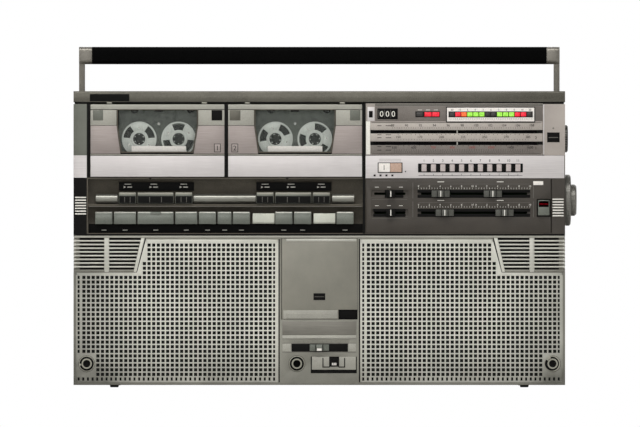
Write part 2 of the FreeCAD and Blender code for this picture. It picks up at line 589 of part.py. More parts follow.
# ---------------------------------------------------------------- handle
def handle():
    arms = []
    for side in ("left", "right"):
        armX = "caseLeft + armInset" if side == "left" else mirrorX("armInset", "armWidth")
        headX = "caseLeft + armInset" if side == "left" else mirrorX("armInset", "headWidth")
        outline = [("handleY - armDepth/2", "handleZ - armDepth/2"),
                   ("handleY + armDepth/2", "handleZ - armDepth/2"),
                   ("handleY + armDepth/2", "gripTop - 2"), ("handleY - armDepth/2", "gripTop - 2")]
        arm = body(side + "Arm", x=armX)
        pad(arm, "YZ_Plane", outline, "armWidth")
        roundEdges(arm, (1, 0, 0), "armDepth/2 - 0.2", lambda spot: spot.z < number("lid + gripDepth"))
        head = body(side + "Head", x=headX)
        pad(head, "YZ_Plane", gripOutline(), "headWidth")
        roundEdges(head, (1, 0, 0), "gripRound")
        pinX = "caseLeft + armInset + armWidth - 1" if side == "left" else \
            mirrorX("armInset + armWidth - 1", "earWidth + 1.4")
        pin = rod("arm", "x", pinX, "handleY", "handleZ", "armPin", "earWidth + 1.4")
        reach = "armInset + headWidth - 1"
        coreX = f"caseLeft + {reach}" if side == "left" else mirrorX(reach, "9")
        core = rod("arm", "x", coreX, "handleY", "gripTop - gripHeight/2", "gripPin - looseGap/2", "9")
        arms.append(fuse("arm", arm, head, pin, core))
    node("handle_arms", group("arms", *arms))
    grip = body("grip", x="caseLeft + armInset + headWidth")
    length = "caseWidth - 2*(armInset + headWidth)"
    pad(grip, "YZ_Plane", gripOutline(), length)
    roundEdges(grip, (1, 0, 0), "gripRound")
    ends = [rod("grip", "x", start, "handleY", "gripTop - gripHeight/2", "gripPin", "10")
            for start in ("caseLeft + armInset + headWidth - 1", mirrorX("armInset + headWidth - 1", "10"))]
    node("handle_grip", cut("grip", grip, *ends))


def gripOutline():
    return [("handleY - gripDepth/2", "gripLow"), ("handleY + gripDepth/2", "gripLow"),
            ("handleY + gripDepth/2", "gripTop"), ("handleY - gripDepth/2", "gripTop")]


# ---------------------------------------------------------------- cassette decks
def deck(side, shift):
    left = f"caseLeft + sideColumn + {shift}"
    inner = f"{left} + looseGap"
    wide = "(doorWidth - 2*looseGap)"
    middle = f"({left} + doorWidth/2 + windowShift*{1 if side == 'left' else 0})"
    name = side + "Door"

    # the door: a front plate rounded at its foot, a carrier behind it, and two hinge stubs
    plate = body(name, x=inner)
    top = "doorLow + doorRise"
    pad(plate, "YZ_Plane", [("face", "doorLow"), ("face + doorPlate", "doorLow"), ("face + doorPlate", top),
                            ("face", top)], wide)
    roundEdges(plate, (1, 0, 0), "doorPivot - 0.1",
               lambda spot: spot.y < number("face + 0.1") and spot.z < number("doorLow + 1"))
    stubs = [rod(name, "x", f"{left} - doorPinLength", "pivotY", "pivotZ", "doorPin", "2*doorPinLength + 2"),
             rod(name, "x", f"{left} + doorWidth - doorPinLength - 2", "pivotY", "pivotZ", "doorPin",
                 "2*doorPinLength + 2")]
    carrierLeft = f"({middle} - tapeWidth/2 - looseGap - holderWall)"
    carrierWide = "(tapeWidth + 2*looseGap + 2*holderWall)"
    carrier = box(name, (carrierLeft, carrierWide), ("face + doorPlate - 0.5",
                                                     "tapeStart + tapeThick - doorPlate + 0.5"),
                  ("doorLow + 2", "holderRise"))
    space = box(name, (f"{middle} - tapeWidth/2 - looseGap", "tapeWidth + 2*looseGap"),
                ("face + doorPlate", "tapeStart + tapeThick"), ("tapeBase - looseGap", "holderRise + 10"))
    opening = box(name, (f"{middle} - windowWidth/2", "windowWidth"), ("face - 1", "doorPlate + 2"),
                  ("windowZ", "windowRise"))
    glassLeft = f"({middle} - windowWidth/2 - glassLap)"
    rebate = box(name, (glassLeft, "windowWidth + 2*glassLap"),
                 ("face + doorPlate - glassThick", "glassThick + 0.2"),
                 ("windowZ - glassLap", "windowRise + 2*glassLap"))
    node(f"{side}_deck_door", cut(name, fuse(name, plate, cut(name, carrier, space), *stubs), opening,
                                  rebate))
    node(f"{side}_door_window",
         box(name, (f"{glassLeft} + 0.1", "windowWidth + 2*glassLap - 0.2"),
             ("face + doorPlate - glassThick", "glassThick"),
             ("windowZ - glassLap + 0.1", "windowRise + 2*glassLap - 0.2")))
    tape(side, middle)
    for end, sign in (("left", "-"), ("right", "+")):
        hub = f"({middle} {sign} hubSpan/2)"
        reel(f"{side}_tape_{end}_reel", hub)
        spindle(f"{side}_deck_{end}_spindle", hub)


def tape(side, middle):
    name = side + "Tape"
    start = "face + tapeStart"
    block = box(name, (f"{middle} - tapeWidth/2", "tapeWidth"), (start, "tapeThick"),
                ("tapeBase", "tapeHeight"))
    bump = box(name, (f"{middle} - tapeWidth*0.34", "tapeWidth*0.68"),
               (f"{start} - tapeBump", "tapeThick + 2*tapeBump"),
               ("tapeBase + tapeHeight - tapeBumpHeight", "tapeBumpHeight"))
    tools = [box(name, (f"{middle} - tapeWidth/2 + tapeWall", "tapeWidth - 2*tapeWall"),
                 (f"{start} + tapeWall", "tapeThick - 2*tapeWall"),
                 ("tapeBase + tapeWall", "tapeHeight - tapeBumpHeight - 2*tapeWall"))]
    for sign in ("-", "+"):
        hub = f"{middle} {sign} hubSpan/2"
        tools.append(rod(name, "y", hub, f"{start} - 3", "hubZ", "hubHole", "tapeThick + 6"))
        tools.append(rod(name, "y", hub, f"{start} + tapeWall", "hubZ", "reelRadius + 1",
                         "tapeThick - 2*tapeWall"))
    # mouths for the head and the pinch roller along the tape's edge
    for along, wide in (("0", "15"), ("-tapeWidth*0.23", "8"), ("tapeWidth*0.23", "8")):
        tools.append(box(name, (f"{middle} + {along} - {wide}/2", wide), (f"{start} + 1.5", "tapeThick - 3"),
                         ("tapeBase + tapeHeight - 8", "9")))
    node(f"{side}_cassette", cut(name, fuse(name, block, bump), *tools))


def reel(label, hub):
    start = "face + tapeStart"
    disc = rod(label, "y", hub, f"{start} + (tapeThick - reelThick)/2", "hubZ", "reelRadius", "reelThick")
    boss = rod(label, "y", hub, f"{start} + 0.2", "hubZ", "reelBoss", "tapeThick - 0.4")
    bore = rod(label, "y", hub, f"{start} - 1", "hubZ", "reelBore", "tapeThick + 2")
    teeth = []
    for tooth in range(6):
        made = doc.addObject("Part::Feature", unique(label + "Tooth"))
        corner = FreeCAD.Vector(-number("toothWide/2"), 0, number("reelBore - toothReach"))
        shape = Part.makeBox(number("toothWide"), number("tapeThick - 2"), number("toothReach + 0.3"), corner)
        shape.rotate(FreeCAD.Vector(), FreeCAD.Vector(0, 1, 0), 60 * tooth)
        made.Shape = shape
        place(made, hub, f"{start} + 1", "hubZ")
        teeth.append(made)
    # three windows through the disc between its spokes
    windows = []
    for window in range(3):
        angle = math.radians(30 + 120 * window)
        windows.append(rod(label, "y", f"{hub} + {math.cos(angle):.6f}*(reelRadius + reelBoss)/2",
                           f"{start} - 1",
                           f"hubZ + {math.sin(angle):.6f}*(reelRadius + reelBoss)/2", "4.6", "tapeThick + 2"))
    node(label, fuse(label, cut(label, fuse(label, disc, boss), bore, *windows), *teeth))


def spindle(label, hub):
    tip = rod(label, "y", hub, "face + spindleTip", "hubZ", "spindleCore", "bayDepth - spindleTip - 0.3")
    fins = []
    for fin in range(3):
        made = doc.addObject("Part::Feature", unique(label + "Fin"))
        length = number("tapeStart + tapeThick - spindleTip")
        shape = Part.makeBox(1, length, number("spindleRadius"), FreeCAD.Vector(-0.5, 0, 0))
        shape.rotate(FreeCAD.Vector(), FreeCAD.Vector(0, 1, 0), 120 * fin)
        made.Shape = shape
        place(made, hub, "face + spindleTip", "hubZ")
        fins.append(made)
    table = rod(label, "y", hub, "face + tapeStart + tapeThick + tapeBump + 0.6", "hubZ", "turntable",
                "bayDepth - tapeStart - tapeThick - tapeBump - 0.9")
    shaft = rod(label, "y", hub, "face + bayDepth - 1", "hubZ", "shaftRadius", "chassisThick + 4")
    node(label, fuse(label, tip, table, shaft, *fins))


def hubSpots():
    for side, shift in (("left", "0"), ("right", "deckPitch")):
        middle = f"(caseLeft + sideColumn + {shift} + doorWidth/2 + windowShift*{1 if side == 'left' else 0})"
        for sign in ("-", "+"):
            yield f"{middle} {sign} hubSpan/2"


def mechanisms():
    name = "mechanism"
    chassis = "face + bayDepth + chassisThick"
    decks = []
    for shift in ("0", "deckPitch"):
        left = f"(caseLeft + sideColumn + {shift})"
        middle = f"({left} + doorWidth/2)"
        plate = box(name, (f"{left} - 1", "doorWidth + 2"),
                    ("face + bayDepth", "chassisThick"), ("deckLow - 2", "deckHeight + 2"))
        head = box(name, (f"{middle} - tapeHeadWidth/2", "tapeHeadWidth"),
                   ("face + tapeHeadSet", "bayDepth + 1 - tapeHeadSet"), ("railLow - tapeHeadDrop",
                                                                          "tapeHeadRise"))
        holes = [rod(name, "y", hub, "face + bayDepth - 1", "hubZ", "shaftRadius + runningGap",
                     "chassisThick + 2")
                 for hub in hubSpots()]
        motor = rod(name, "y", f"{left} + motorSet", chassis, "deckLow + motorUp", "motorRadius",
                    "motorLength")
        wheels = []
        for off in ("flywheelNear", "flywheelFar"):
            wheels.append(rod(name, "y", f"{middle} + {off}", chassis + " + flywheelGap",
                              "deckLow + flywheelUp",
                              "flywheelRadius", "flywheelThick"))
            wheels.append(rod(name, "y", f"{middle} + {off}", chassis + " - 1", "deckLow + flywheelUp",
                              "flywheelShaft", "flywheelGap + flywheelThick + 3"))
        # a solenoid block at the top of the chassis
        solenoid = box(name, (f"{left} + solenoidSet", "solenoidWidth"),
                       (chassis + " - 0.5", "solenoidDepth"),
                       ("deckLow + solenoidUp", "solenoidRise"))
        decks.append(fuse(name, cut(name, fuse(name, plate, head), *holes), motor, solenoid, *wheels))
    node("deck_mechanisms", group(name, *decks))


# ---------------------------------------------------------------- tuner and controls
def slideTracks():
    # Each track: where it starts, how long it is and the height of its middle
    return [("slotLeft", "slotRight - slotLeft", "rowOne"), ("slotLeft", "slotRight - slotLeft", "rowTwo"),
            ("tunerStart + switchStart", "switchTrack", "rowOne"), ("tunerStart + switchStart",
                                                                    "switchTrack", "rowTwo")]


def controlPanel():
    name = "panel"
    plate = box(name, ("tunerStart + looseGap", "panelWidth - 2*looseGap"), ("face", "panelThick"),
                ("bandLow + 1.5", "deckLow - bandLow - 3"))
    tools = []
    for start, length, row in slideTracks():
        tools.append(box(name, (start, length), ("face - 1", "trackDeep + 1"),
                         (row + " - trackRise/2", "trackRise")))
        tools.append(box(name, (start + " + 3", length + " - 6"), ("face", "panelThick + 1"),
                         (row + " - slitRise/2", "slitRise")))
    tools.append(box(name, ("caseRight - powerSet - powerWidth/2 - looseGap", "powerWidth + 2*looseGap"),
                     ("face - 1", "panelThick + 2"),
                     ("deckLow - powerDrop - powerRise/2 - looseGap", "powerRise + 2*looseGap")))
    node("control_panel", cut(name, plate, *tools))


def slider(label, middle, row, wide, wall, rise="capRise"):
    # A cap in its track, a stem through the slit and a flange behind the wall
    cap = box(label, (f"{middle} - {wide}/2", wide), ("face - knobProud", "knobProud + trackDeep - looseGap"),
              (f"{row} - {rise}/2", rise))
    grip = box(label, (f"{middle} - 0.8", "1.6"), ("face - knobProud - 1", "1.6"),
               (f"{row} - {rise}/2 - 1", f"{rise} + 2"))
    stem = box(label, (f"{middle} - 1.5", "3"), ("face", f"{wall} + 2"), (f"{row} - slitRise/2 + looseGap",
                                                                        "slitRise - 2*looseGap"))
    flange = box(label, (f"{middle} - 4", "8"), (f"face + {wall} + looseGap", "1.6"), (f"{row} - 3", "6"))
    node(label, fuse(label, cut(label, cap, grip), stem, flange))


def controls():
    controlPanel()
    slider("treble_slider", "slotLeft + trebleSet", "rowOne", "capWidth", "panelThick")
    slider("volume_slider", "slotRight - volumeSet", "rowOne", "capWidth", "panelThick")
    slider("bass_slider", "slotLeft + bassSet", "rowTwo", "capWidth", "panelThick")
    slider("balance_slider", "slotRight - balanceSet", "rowTwo", "capWidth", "panelThick")
    slider("meter_switch", "tunerStart + switchSet", "rowOne", "switchWidth", "panelThick")
    slider("function_switch", "tunerStart + switchSet", "rowTwo", "switchWidth", "panelThick")
    slider("mic_mixing_slider", "caseMid", "footHeight + mixUp", "mixCap", "faceDepth")
    slider("mic_level_slider", "caseMid + levelSet", "footHeight + levelUp", "levelCap", "faceDepth")
    left = "caseRight - powerSet - powerWidth/2"
    low = "deckLow - powerDrop - powerRise/2"
    cap = box("power", (left, "powerWidth"), ("face - 3", "3 + panelThick + 1"), (low, "powerRise"))
    flange = box("power", (left, "powerWidth"), ("face + panelThick + looseGap", "1.5"),
                 (f"{low} - 1.2", "powerRise + 2.4"))
    node("power_button", fuse("power", cap, flange))


def tuner():
    name = "dial"
    low = "deckLow + 24.3"
    plate = box(name, ("tunerStart + looseGap", "dialWidth - 2*looseGap"), ("face", "dialThick"),
                (low, "railLow - 0.9 - deckLow - 24.3"))
    slots = [box(name, ("tunerStart + dialSlotInset", "dialWidth - 2*dialSlotInset"),
                 ("face - 1", "dialThick + 2"),
                 (f"deckLow + {up}", "dialSlotRise")) for up in ("dialSlotHigh", "dialSlotLow")]
    rodLow = "deckLow + 43.2"
    ends = [box(name, (start, "3"), ("face + dialThick - 0.5", "14"), (f"{rodLow} - 4", "8"))
            for start in ("tunerStart + panelLip + 0.5", "tunerStart + dialWidth - panelLip - 3.5")]
    guide = rod(name, "x", "tunerStart + panelLip + 1", "face + dialThick + 9", rodLow, "1.5",
                "dialWidth - 2*panelLip - 2")
    node("dial_scale", fuse(name, cut(name, plate, *slots), guide, *ends))
    at = "tunerStart + pointerSet"
    needle = box("pointer", (f"{at} - pointerWidth/2", "pointerWidth"), ("face + dialThick + looseGap", "1"),
                 ("deckLow + dialSlotLow - 3", "dialSlotHigh + dialSlotRise - dialSlotLow + 6"))
    arm = box("pointer", (f"{at} - 4", "8"), ("face + dialThick + 1", "11"), (f"{rodLow} - 3.5", "7"))
    bore = rod("pointer", "x", f"{at} - 6", "face + dialThick + 9", rodLow, "1.5 + runningGap", "12")
    node("dial_pointer", cut("pointer", fuse("pointer", needle, arm), bore))


def sideKnobs():
    y = "face + knobSetback"
    z = "deckLow - knobDrop"
    rim = body("tuning", y=y, z=z)
    rim.Placement = FreeCAD.Placement(FreeCAD.Vector(), FreeCAD.Rotation(FreeCAD.Vector(1, 0, 0), 90))
    place(rim, "caseRight", y, z)
    turned(rim, [("looseGap", "0"), ("looseGap", "knobRadius"), ("knobRim - 1.2", "knobRadius"),
                 ("knobRim", "knobRadius - 1.2"), ("knobRim", "knobInner"), ("knobStand - 1", "knobInner"),
                 ("knobStand", "knobInner - 1"), ("knobStand", "0")], "H_Axis")
    shaft = rod("tuning", "x", "caseRight - 13", y, z, "knobShaft", "14")
    drum = rod("tuning", "x", "caseRight - 12", y, z, "8.75", "6")
    node("tuning_knob", fuse("tuning", rim, shaft, drum))
    y = "face + wheelSetback"
    z = "deckLow + wheelUp"
    disc = rod("wheel", "x", "caseRight + looseGap", y, z, "wheelRadius", "wheelStand - looseGap")
    shaft = rod("wheel", "x", "caseRight - 9", y, z, "wheelShaft", "10")
    cam = rod("wheel", "x", "caseRight - 9", y, z, "6", "5")
    node("band_wheel", fuse("wheel", disc, shaft, cam))


# ---------------------------------------------------------------- speaker half
def speakerHalf():
    sheets = []
    louvres = []
    sockets = []
    speakers = []
    for side, edge, sign in (("left", "caseLeft", "+"), ("right", "caseRight", "-")):
        sheetBody = body("sheet", y="face + sheetInset + sheetThick")
        pad(sheetBody, "XZ_Plane", sheetOutline(side), "sheetThick")
        hole = rod("sheet", "y", f"{edge} {sign} jackX", "face - 1", "footHeight + jackZ",
                   "jackBody + runningGap", "4")
        sheets.append(cut("sheet", sheetBody, hole))

        plateX = edge if side == "left" else "caseRight - louvreWidth"
        plate = box("louvre", (plateX, "louvreWidth"), ("face", "louvreThick"),
                    ("louvreLow", "slatPitch*slatCount + 4"))
        tools = []
        for slat in range(int(sizes["slatCount"])):
            up = f"louvreLow + 4 + {slat}*slatPitch"
            reach = f"louvreWidth - 3 - mullionStart - mullionWidth - louvreSlant*(1 - {slat}/slatCount)"
            for start, wide in (("louvreInset", "mullionStart - louvreInset"),
                                ("mullionStart + mullionWidth", reach)):
                x = f"caseLeft + {start}" if side == "left" else mirrorX(start, wide)
                tools.append(box("louvre", (x, wide), ("face - 1", "louvreThick + 2"), (up, "slatSlot")))
        corner = body("louvre", y="face + louvreThick + 1")
        pad(corner, "XZ_Plane", [(f"{edge} {sign} (louvreWidth + 1)", "louvreLow - 1"),
                                 (f"{edge} {sign} (louvreWidth + 1)", "bandLow"),
                                 (f"{edge} {sign} louvreWidth", "bandLow"),
                                 (f"{edge} {sign} (louvreWidth - louvreSlant)",
                                  "louvreLow - 1")], "louvreThick + 2")
        louvres.append(cut("louvre", plate, corner, *tools))

        sockets.append(socket(f"{edge} {sign} jackX", "sheetFace"))
        x = f"{edge} {sign} wooferX"
        speakers.append(speaker("woofer", x, "wooferZ", "wooferRadius", "wooferDepth"))
        speakers.append(speaker("tweeter", f"{edge} {sign} tweeterX", "tweeterZ", "tweeterRadius + 3", "16"))
    sockets.append(socket("caseMid - centreJack", "face"))
    node("speaker_grilles", group("sheets", *sheets))
    node("tweeter_louvres", group("louvres", *louvres))
    node("jack_sockets", group("sockets", *sockets))
    node("loudspeakers", group("speakers", *speakers))


def socket(x, seat):
    z = "footHeight + jackZ"
    ring = cone("socket", "y", x, f"{seat} - 1", z, ("jackRing - 0.8", "jackRing"), "1")
    barrel = rod("socket", "y", x, f"{seat} - 0.5", z, "jackBody", "jackDeep + 3")
    bore = rod("socket", "y", x, f"{seat} - 2", z, "jackBore", "jackDeep + 1")
    return cut("socket", fuse("socket", ring, barrel), bore)


def speaker(name, x, z, radius, depth):
    # A rim on the baffle, an open cone, a basket and a magnet, turned about the speaker's own axis
    made = body(name, x, "face + faceDepth", z)
    r = f"({radius})"
    d = f"({depth})"
    turned(made, [(f"{r} + 2", "0"), (f"{r} + 2", "3"), (f"{r} - 4", "3"), (f"{r}*0.5", f"{d}*0.6"),
                  (f"{r}*0.5", d), ("0", d), ("0", f"{d}*0.5"), (f"{r}*0.3", f"{d}*0.5"),
                  (f"{r} - 8", "1.5"), (f"{r} - 6", "0")], "V_Axis")
    return made


def circuitBoards():
    name = "board"
    # tuner and amplifier board on posts behind the controls
    board = box(name, ("tunerStart + boardEdge", "caseRight - shellWall - boardEnd - tunerStart - boardEdge"),
                ("face + boardSet", "boardThick"), ("bandLow + boardLow",
                                                    "lid - shellWall - boardTop - bandLow - boardLow"))
    posts = [rod(name, "y", x, "face + faceDepth", z, "postRadius", "boardSet - faceDepth + 0.5")
             for x in ("tunerStart + boardEdge + 6", "caseRight - rightColumn - 19")
             for z in ("deckLow + 11", "lid - shellWall - 6")]
    parts = [board] + posts
    behind = "face + boardSet + boardThick - 0.2"
    for column in range(4):
        middle = f"tunerStart + canStart + {column}*canPitch"
        parts.append(rod(name, "y", middle, behind, "deckLow + canUp", "canRadius", "canLength"))
        parts.append(box(name, (f"{middle} - chipWidth/2", "chipWidth"), (behind, "chipThick"),
                         ("bandLow + chipUp", "chipRise")))
    main = fuse(name, *parts)
    # the transformer's core stands on a wider mounting plate
    core = box(name, ("caseRight - coreSet", "coreWidth"), ("split + coreGap", "coreDepth"),
               ("footHeight + shellWall", "coreRise"))
    mount = box(name, ("caseRight - coreSet - (mountWidth - coreWidth)/2", "mountWidth"),
                ("split + coreGap + (coreDepth - mountDepth)/2", "mountDepth"), ("footHeight + shellWall",
                                                                                 "mountThick"))
    across = ("caseRight - inletSet", "inletWidth")
    deep = ("back - shellWall - inletDepth", "inletDepth")
    inlet = box(name, across, deep, ("footHeight + inletUp", "inletRise"))
    shelf = box(name, across, deep, ("footHeight + shellWall", "inletUp - shellWall + 1"))
    transformer = fuse(name, core, mount)
    node("circuit_boards", group(name, main, transformer, fuse(name, inlet, shelf)))


def hatch():
    made = body("hatch", z="hatchZ")
    right = "hatchLeft + hatchWidth"
    pad(made, "XY_Plane", [("hatchLeft", "face"), (right, "face"), (right, "face + hatchThick"),
                           ("hatchLeft", "face + hatchThick")], "hatchRise")
    roundEdges(made, (0, 0, 1), "hatchThick/2 - 0.1", lambda spot: spot.x < number("hatchLeft + 1"))
    notch = box("hatch", (f"{right} - notchWidth", "notchWidth + 1"), ("face - 1", "hatchThick + 2"),
                ("hatchZ - 1", "notchRise + 1"))
    pins = [rod("hatch", "z", "hatchLeft + hatchThick/2", "face + hatchThick/2", start, "hatchPin", "3")
            for start in ("hatchZ - 1.5", "hatchZ + hatchRise - 1.5")]
    node("storage_door", fuse("hatch", cut("hatch", made, notch), *pins))


# ---------------------------------------------------------------- build
frontCabinet()
rearCabinet()
rearPieces()
handle()
deck("left", "0")
deck("right", "deckPitch")
mechanisms()
controls()
tuner()
sideKnobs()
antenna()
speakerHalf()
circuitBoards()
hatch()
keys()
doc.recompute()

for thing in doc.Objects:
    if "Invalid" in thing.State or "Error" in thing.State:
        raise RuntimeError(f"{thing.Name} failed: {thing.State}")
for thing in nodes:
    if thing.Shape.isNull() or not thing.Shape.isValid():
        raise RuntimeError(f"{thing.Label} has no valid shape")
    thing.Shape.exportStep(f"parts/{thing.Label}.step")
    print(f"{thing.Label}: {len(thing.Shape.Solids)} solids, {thing.Shape.Volume / 1000:.1f} cm3")
print(len(nodes), "nodes")
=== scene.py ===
import json
import math
import bmesh
import bpy
from mathutils import Matrix, Vector


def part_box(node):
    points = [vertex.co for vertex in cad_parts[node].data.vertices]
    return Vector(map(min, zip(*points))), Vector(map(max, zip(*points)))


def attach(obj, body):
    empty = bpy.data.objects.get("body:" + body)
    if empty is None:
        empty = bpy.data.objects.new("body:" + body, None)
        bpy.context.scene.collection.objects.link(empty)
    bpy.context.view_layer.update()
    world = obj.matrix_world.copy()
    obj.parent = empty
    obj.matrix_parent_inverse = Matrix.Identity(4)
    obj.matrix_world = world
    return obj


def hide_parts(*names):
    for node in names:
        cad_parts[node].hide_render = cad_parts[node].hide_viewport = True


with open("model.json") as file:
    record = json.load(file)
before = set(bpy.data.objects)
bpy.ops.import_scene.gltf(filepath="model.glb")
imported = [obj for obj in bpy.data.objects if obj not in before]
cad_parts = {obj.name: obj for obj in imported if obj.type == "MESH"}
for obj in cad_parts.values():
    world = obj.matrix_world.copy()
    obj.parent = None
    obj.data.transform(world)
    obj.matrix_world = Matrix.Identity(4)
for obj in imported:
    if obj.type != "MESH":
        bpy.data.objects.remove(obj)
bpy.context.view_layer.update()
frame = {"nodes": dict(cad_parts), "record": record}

mm = 0.001
scene = bpy.context.scene
record = frame["record"]
bodyOf = {node: body for body, nodes in record["behaviour"]["bodies"].items() for node in nodes}
slotOf = {part["node"]: part["material_slot"] for part in record["subparts"]}


def span(node):
    # lowest and highest corner of a node in millimetres
    low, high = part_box(node)
    return [value / mm for value in low], [value / mm for value in high]


(caseLeft, faceY, _), (caseRight, _, _) = span("front_cabinet")
caseMid = (caseLeft + caseRight) / 2
print("frame loaded", len(frame["nodes"]), "nodes")


def across(fromLeft):
    # millimetres from the left side of the case to the frame's x
    return caseLeft + fromLeft


# ---- colours and shader trees
def hexColour(code):
    # sRGB hex to linear, as the shaders want it
    parts = [int(code[i:i + 2], 16) / 255 for i in (0, 2, 4)]
    return tuple(c / 12.92 if c <= 0.04045 else ((c + 0.055) / 1.055) ** 2.4 for c in parts) + (1,)


def addNode(tree, kind, inputs=None, **settings):
    # adds a node; an input takes a plain value, another node's socket, or a node for its first output
    made = tree.nodes.new(kind)
    for name, value in settings.items():
        setattr(made, name, value)
    for key, value in (inputs or {}).items():
        if isinstance(value, bpy.types.Node):
            value = value.outputs[0]
        if isinstance(value, bpy.types.NodeSocket):
            tree.links.new(value, made.inputs[key])
        else:
            made.inputs[key].default_value = value
    return made


materials = {}


def startMaterial(name, **fixed):
    # fixed values go straight on the shader's own sockets
    material = bpy.data.materials.new(name)
    material.use_nodes = True
    tree = material.node_tree
    shader = tree.nodes["Principled BSDF"]
    for key, value in fixed.items():
        shader.inputs[key.replace("_", " ")].default_value = value
    materials[name] = material
    return tree, shader, addNode(tree, "ShaderNodeTexCoord").outputs["Object"]


def grain(tree, coords, sizeMm, stretch=(1, 1, 1), detail=3, roughness=0.5):
    # noise whose features are about sizeMm across, drawn out along an axis where stretch is small
    mapping = addNode(tree, "ShaderNodeMapping", {"Vector": coords, "Scale": stretch})
    settings = {"Vector": mapping, "Scale": 1 / (sizeMm * mm), "Detail": detail, "Roughness": roughness}
    return addNode(tree, "ShaderNodeTexNoise", settings).outputs["Fac"]


def blendColours(tree, factor, low, high, start=0.3, end=0.7):
    ramp = addNode(tree, "ShaderNodeValToRGB", {"Fac": factor})
    for stop, position, code in zip(ramp.color_ramp.elements, (start, end), (low, high)):
        stop.position = position
        stop.color = hexColour(code)
    return ramp.outputs["Color"]


def remap(tree, factor, low, high):
    return addNode(tree, "ShaderNodeMapRange", {"Value": factor, "To Min": low, "To Max": high}).outputs[0]


def finished(tree, shader, colour, gloss, height=None, depthMm=0.0):
    # links the colour, the roughness and a fine relief to the shader
    tree.links.new(colour, shader.inputs["Base Color"])
    tree.links.new(gloss, shader.inputs["Roughness"])
    if height:
        relief = addNode(tree, "ShaderNodeBump", {"Height": height, "Distance": depthMm * mm})
        tree.links.new(relief.outputs["Normal"], shader.inputs["Normal"])


def worn(tree, coords, fine, patchMm=38, amount=0.35):
    # slow patches of handling dirt mixed over a fine grain
    patch = grain(tree, coords, patchMm, detail=4, roughness=0.6)
    return addNode(tree, "ShaderNodeMix", {0: amount, 2: fine, 3: patch}).outputs[0]


# sizes and colour of the painted shade toward the ends and foot of the cabinet, in millimetres
edgeShadeSizes = {"endsFrom": 200, "endsTo": 272, "footFrom": 55, "footTo": 2, "patch": 30, "colour": "55544c"}


def shadedToEdges(tree, coords, colour, amount):
    # painted shade: colour darkened toward the two ends and the foot of the cabinet, broken up by slow noise
    # patches
    s = edgeShadeSizes
    axes = addNode(tree, "ShaderNodeSeparateXYZ", {"Vector": coords})
    fromMiddle = addNode(tree, "ShaderNodeMath", {0: axes.outputs["X"]}, operation="ABSOLUTE")
    ends, foot = [addNode(tree, "ShaderNodeMapRange", {"Value": value, "From Min": s[zone + "From"] * mm,
                                                       "From Max": s[zone + "To"] * mm})
                  for value, zone in ((fromMiddle, "ends"), (axes.outputs["Z"], "foot"))]
    both = addNode(tree, "ShaderNodeMath", {0: ends, 1: foot}, operation="ADD")
    patch = remap(tree, grain(tree, coords, s["patch"], detail=4), 0.4 * amount, 1.6 * amount)
    depth = addNode(tree, "ShaderNodeMath", {0: both, 1: patch}, operation="MULTIPLY", use_clamp=True)
    mixed = addNode(tree, "ShaderNodeMix", {0: depth, 6: colour}, data_type="RGBA", blend_type="MULTIPLY")
    mixed.inputs[7].default_value = hexColour(s["colour"])
    return mixed.outputs[2]


def paintedPlastic(name, dark, light, roughness=0.38, metallic=0.55, edgeShade=0.0):
    # metallic lacquer on moulded ABS: a fine flake, slow dirt patches and a satin gloss
    tree, shader, coords = startMaterial(name, Metallic=metallic, IOR=1.5)
    flake = grain(tree, coords, 0.5, detail=2)
    mixed = worn(tree, coords, flake)
    colour = blendColours(tree, mixed, dark, light, 0.35, 0.65)
    # painted shade toward the ends and the foot of the cabinet, when an amount is given
    if edgeShade:
        colour = shadedToEdges(tree, coords, colour, edgeShade)
    finished(tree, shader, colour, remap(tree, mixed, roughness - 0.06, roughness + 0.1), flake, 0.012)


def mouldedPlastic(name, dark, light, roughness=0.5, textureMm=0.6, depthMm=0.03, shine=0.25):
    # spark-eroded ABS: an even fine texture that breaks up highlights
    tree, shader, coords = startMaterial(name, IOR=1.5, Specular_IOR_Level=shine)
    texture = grain(tree, coords, textureMm, detail=2)
    mixed = worn(tree, coords, texture, 30, 0.5)
    gloss = remap(tree, mixed, roughness - 0.05, roughness + 0.12)
    finished(tree, shader, blendColours(tree, mixed, dark, light), gloss, texture, depthMm)


def brushedMetal(name, dark, light, roughness=0.34, metallic=0.85, along="x", lineMm=0.35):
    # brushed aluminium: hairlines run one way, drawn coarse enough to show
    tree, shader, coords = startMaterial(name, Metallic=metallic, Anisotropic=0.4)
    stretch = [0.012 if axis == along else 1 for axis in "xyz"]
    lines = grain(tree, coords, lineMm, stretch, detail=4, roughness=0.7)
    mixed = worn(tree, coords, lines, 45, 0.3)
    gloss = remap(tree, lines, roughness - 0.08, roughness + 0.14)
    finished(tree, shader, blendColours(tree, mixed, dark, light), gloss, lines, 0.01)


def printedInk(name, dark, light, roughness=0.5, shine=0.5):
    # screen-printed ink: nearly flat, slightly uneven in density
    tree, shader, coords = startMaterial(name, IOR=1.45, Specular_IOR_Level=shine)
    density = grain(tree, coords, 1.2)
    finished(tree, shader, blendColours(tree, density, dark, light, 0.2, 0.8),
             remap(tree, density, roughness, roughness + 0.1))


def litLens(name, dark, light, glow):
    # moulded acrylic lamp lens, lit from behind
    tree, shader, coords = startMaterial(name, Roughness=0.25, IOR=1.49, Emission_Strength=glow)
    colour = blendColours(tree, grain(tree, coords, 1.5, detail=2), dark, light)
    tree.links.new(colour, shader.inputs["Base Color"])
    tree.links.new(colour, shader.inputs["Emission Color"])


def clearPlastic(name, tint, alpha, roughness=0.06):
    # cast acrylic: mostly seen through, with fine scuffs in the gloss
    tree, shader, coords = startMaterial(name, IOR=1.49, Alpha=alpha)
    scuffs = grain(tree, coords, 3, (1, 1, 0.2), detail=5)
    finished(tree, shader, blendColours(tree, scuffs, tint, tint),
             remap(tree, scuffs, roughness, roughness + 0.12))


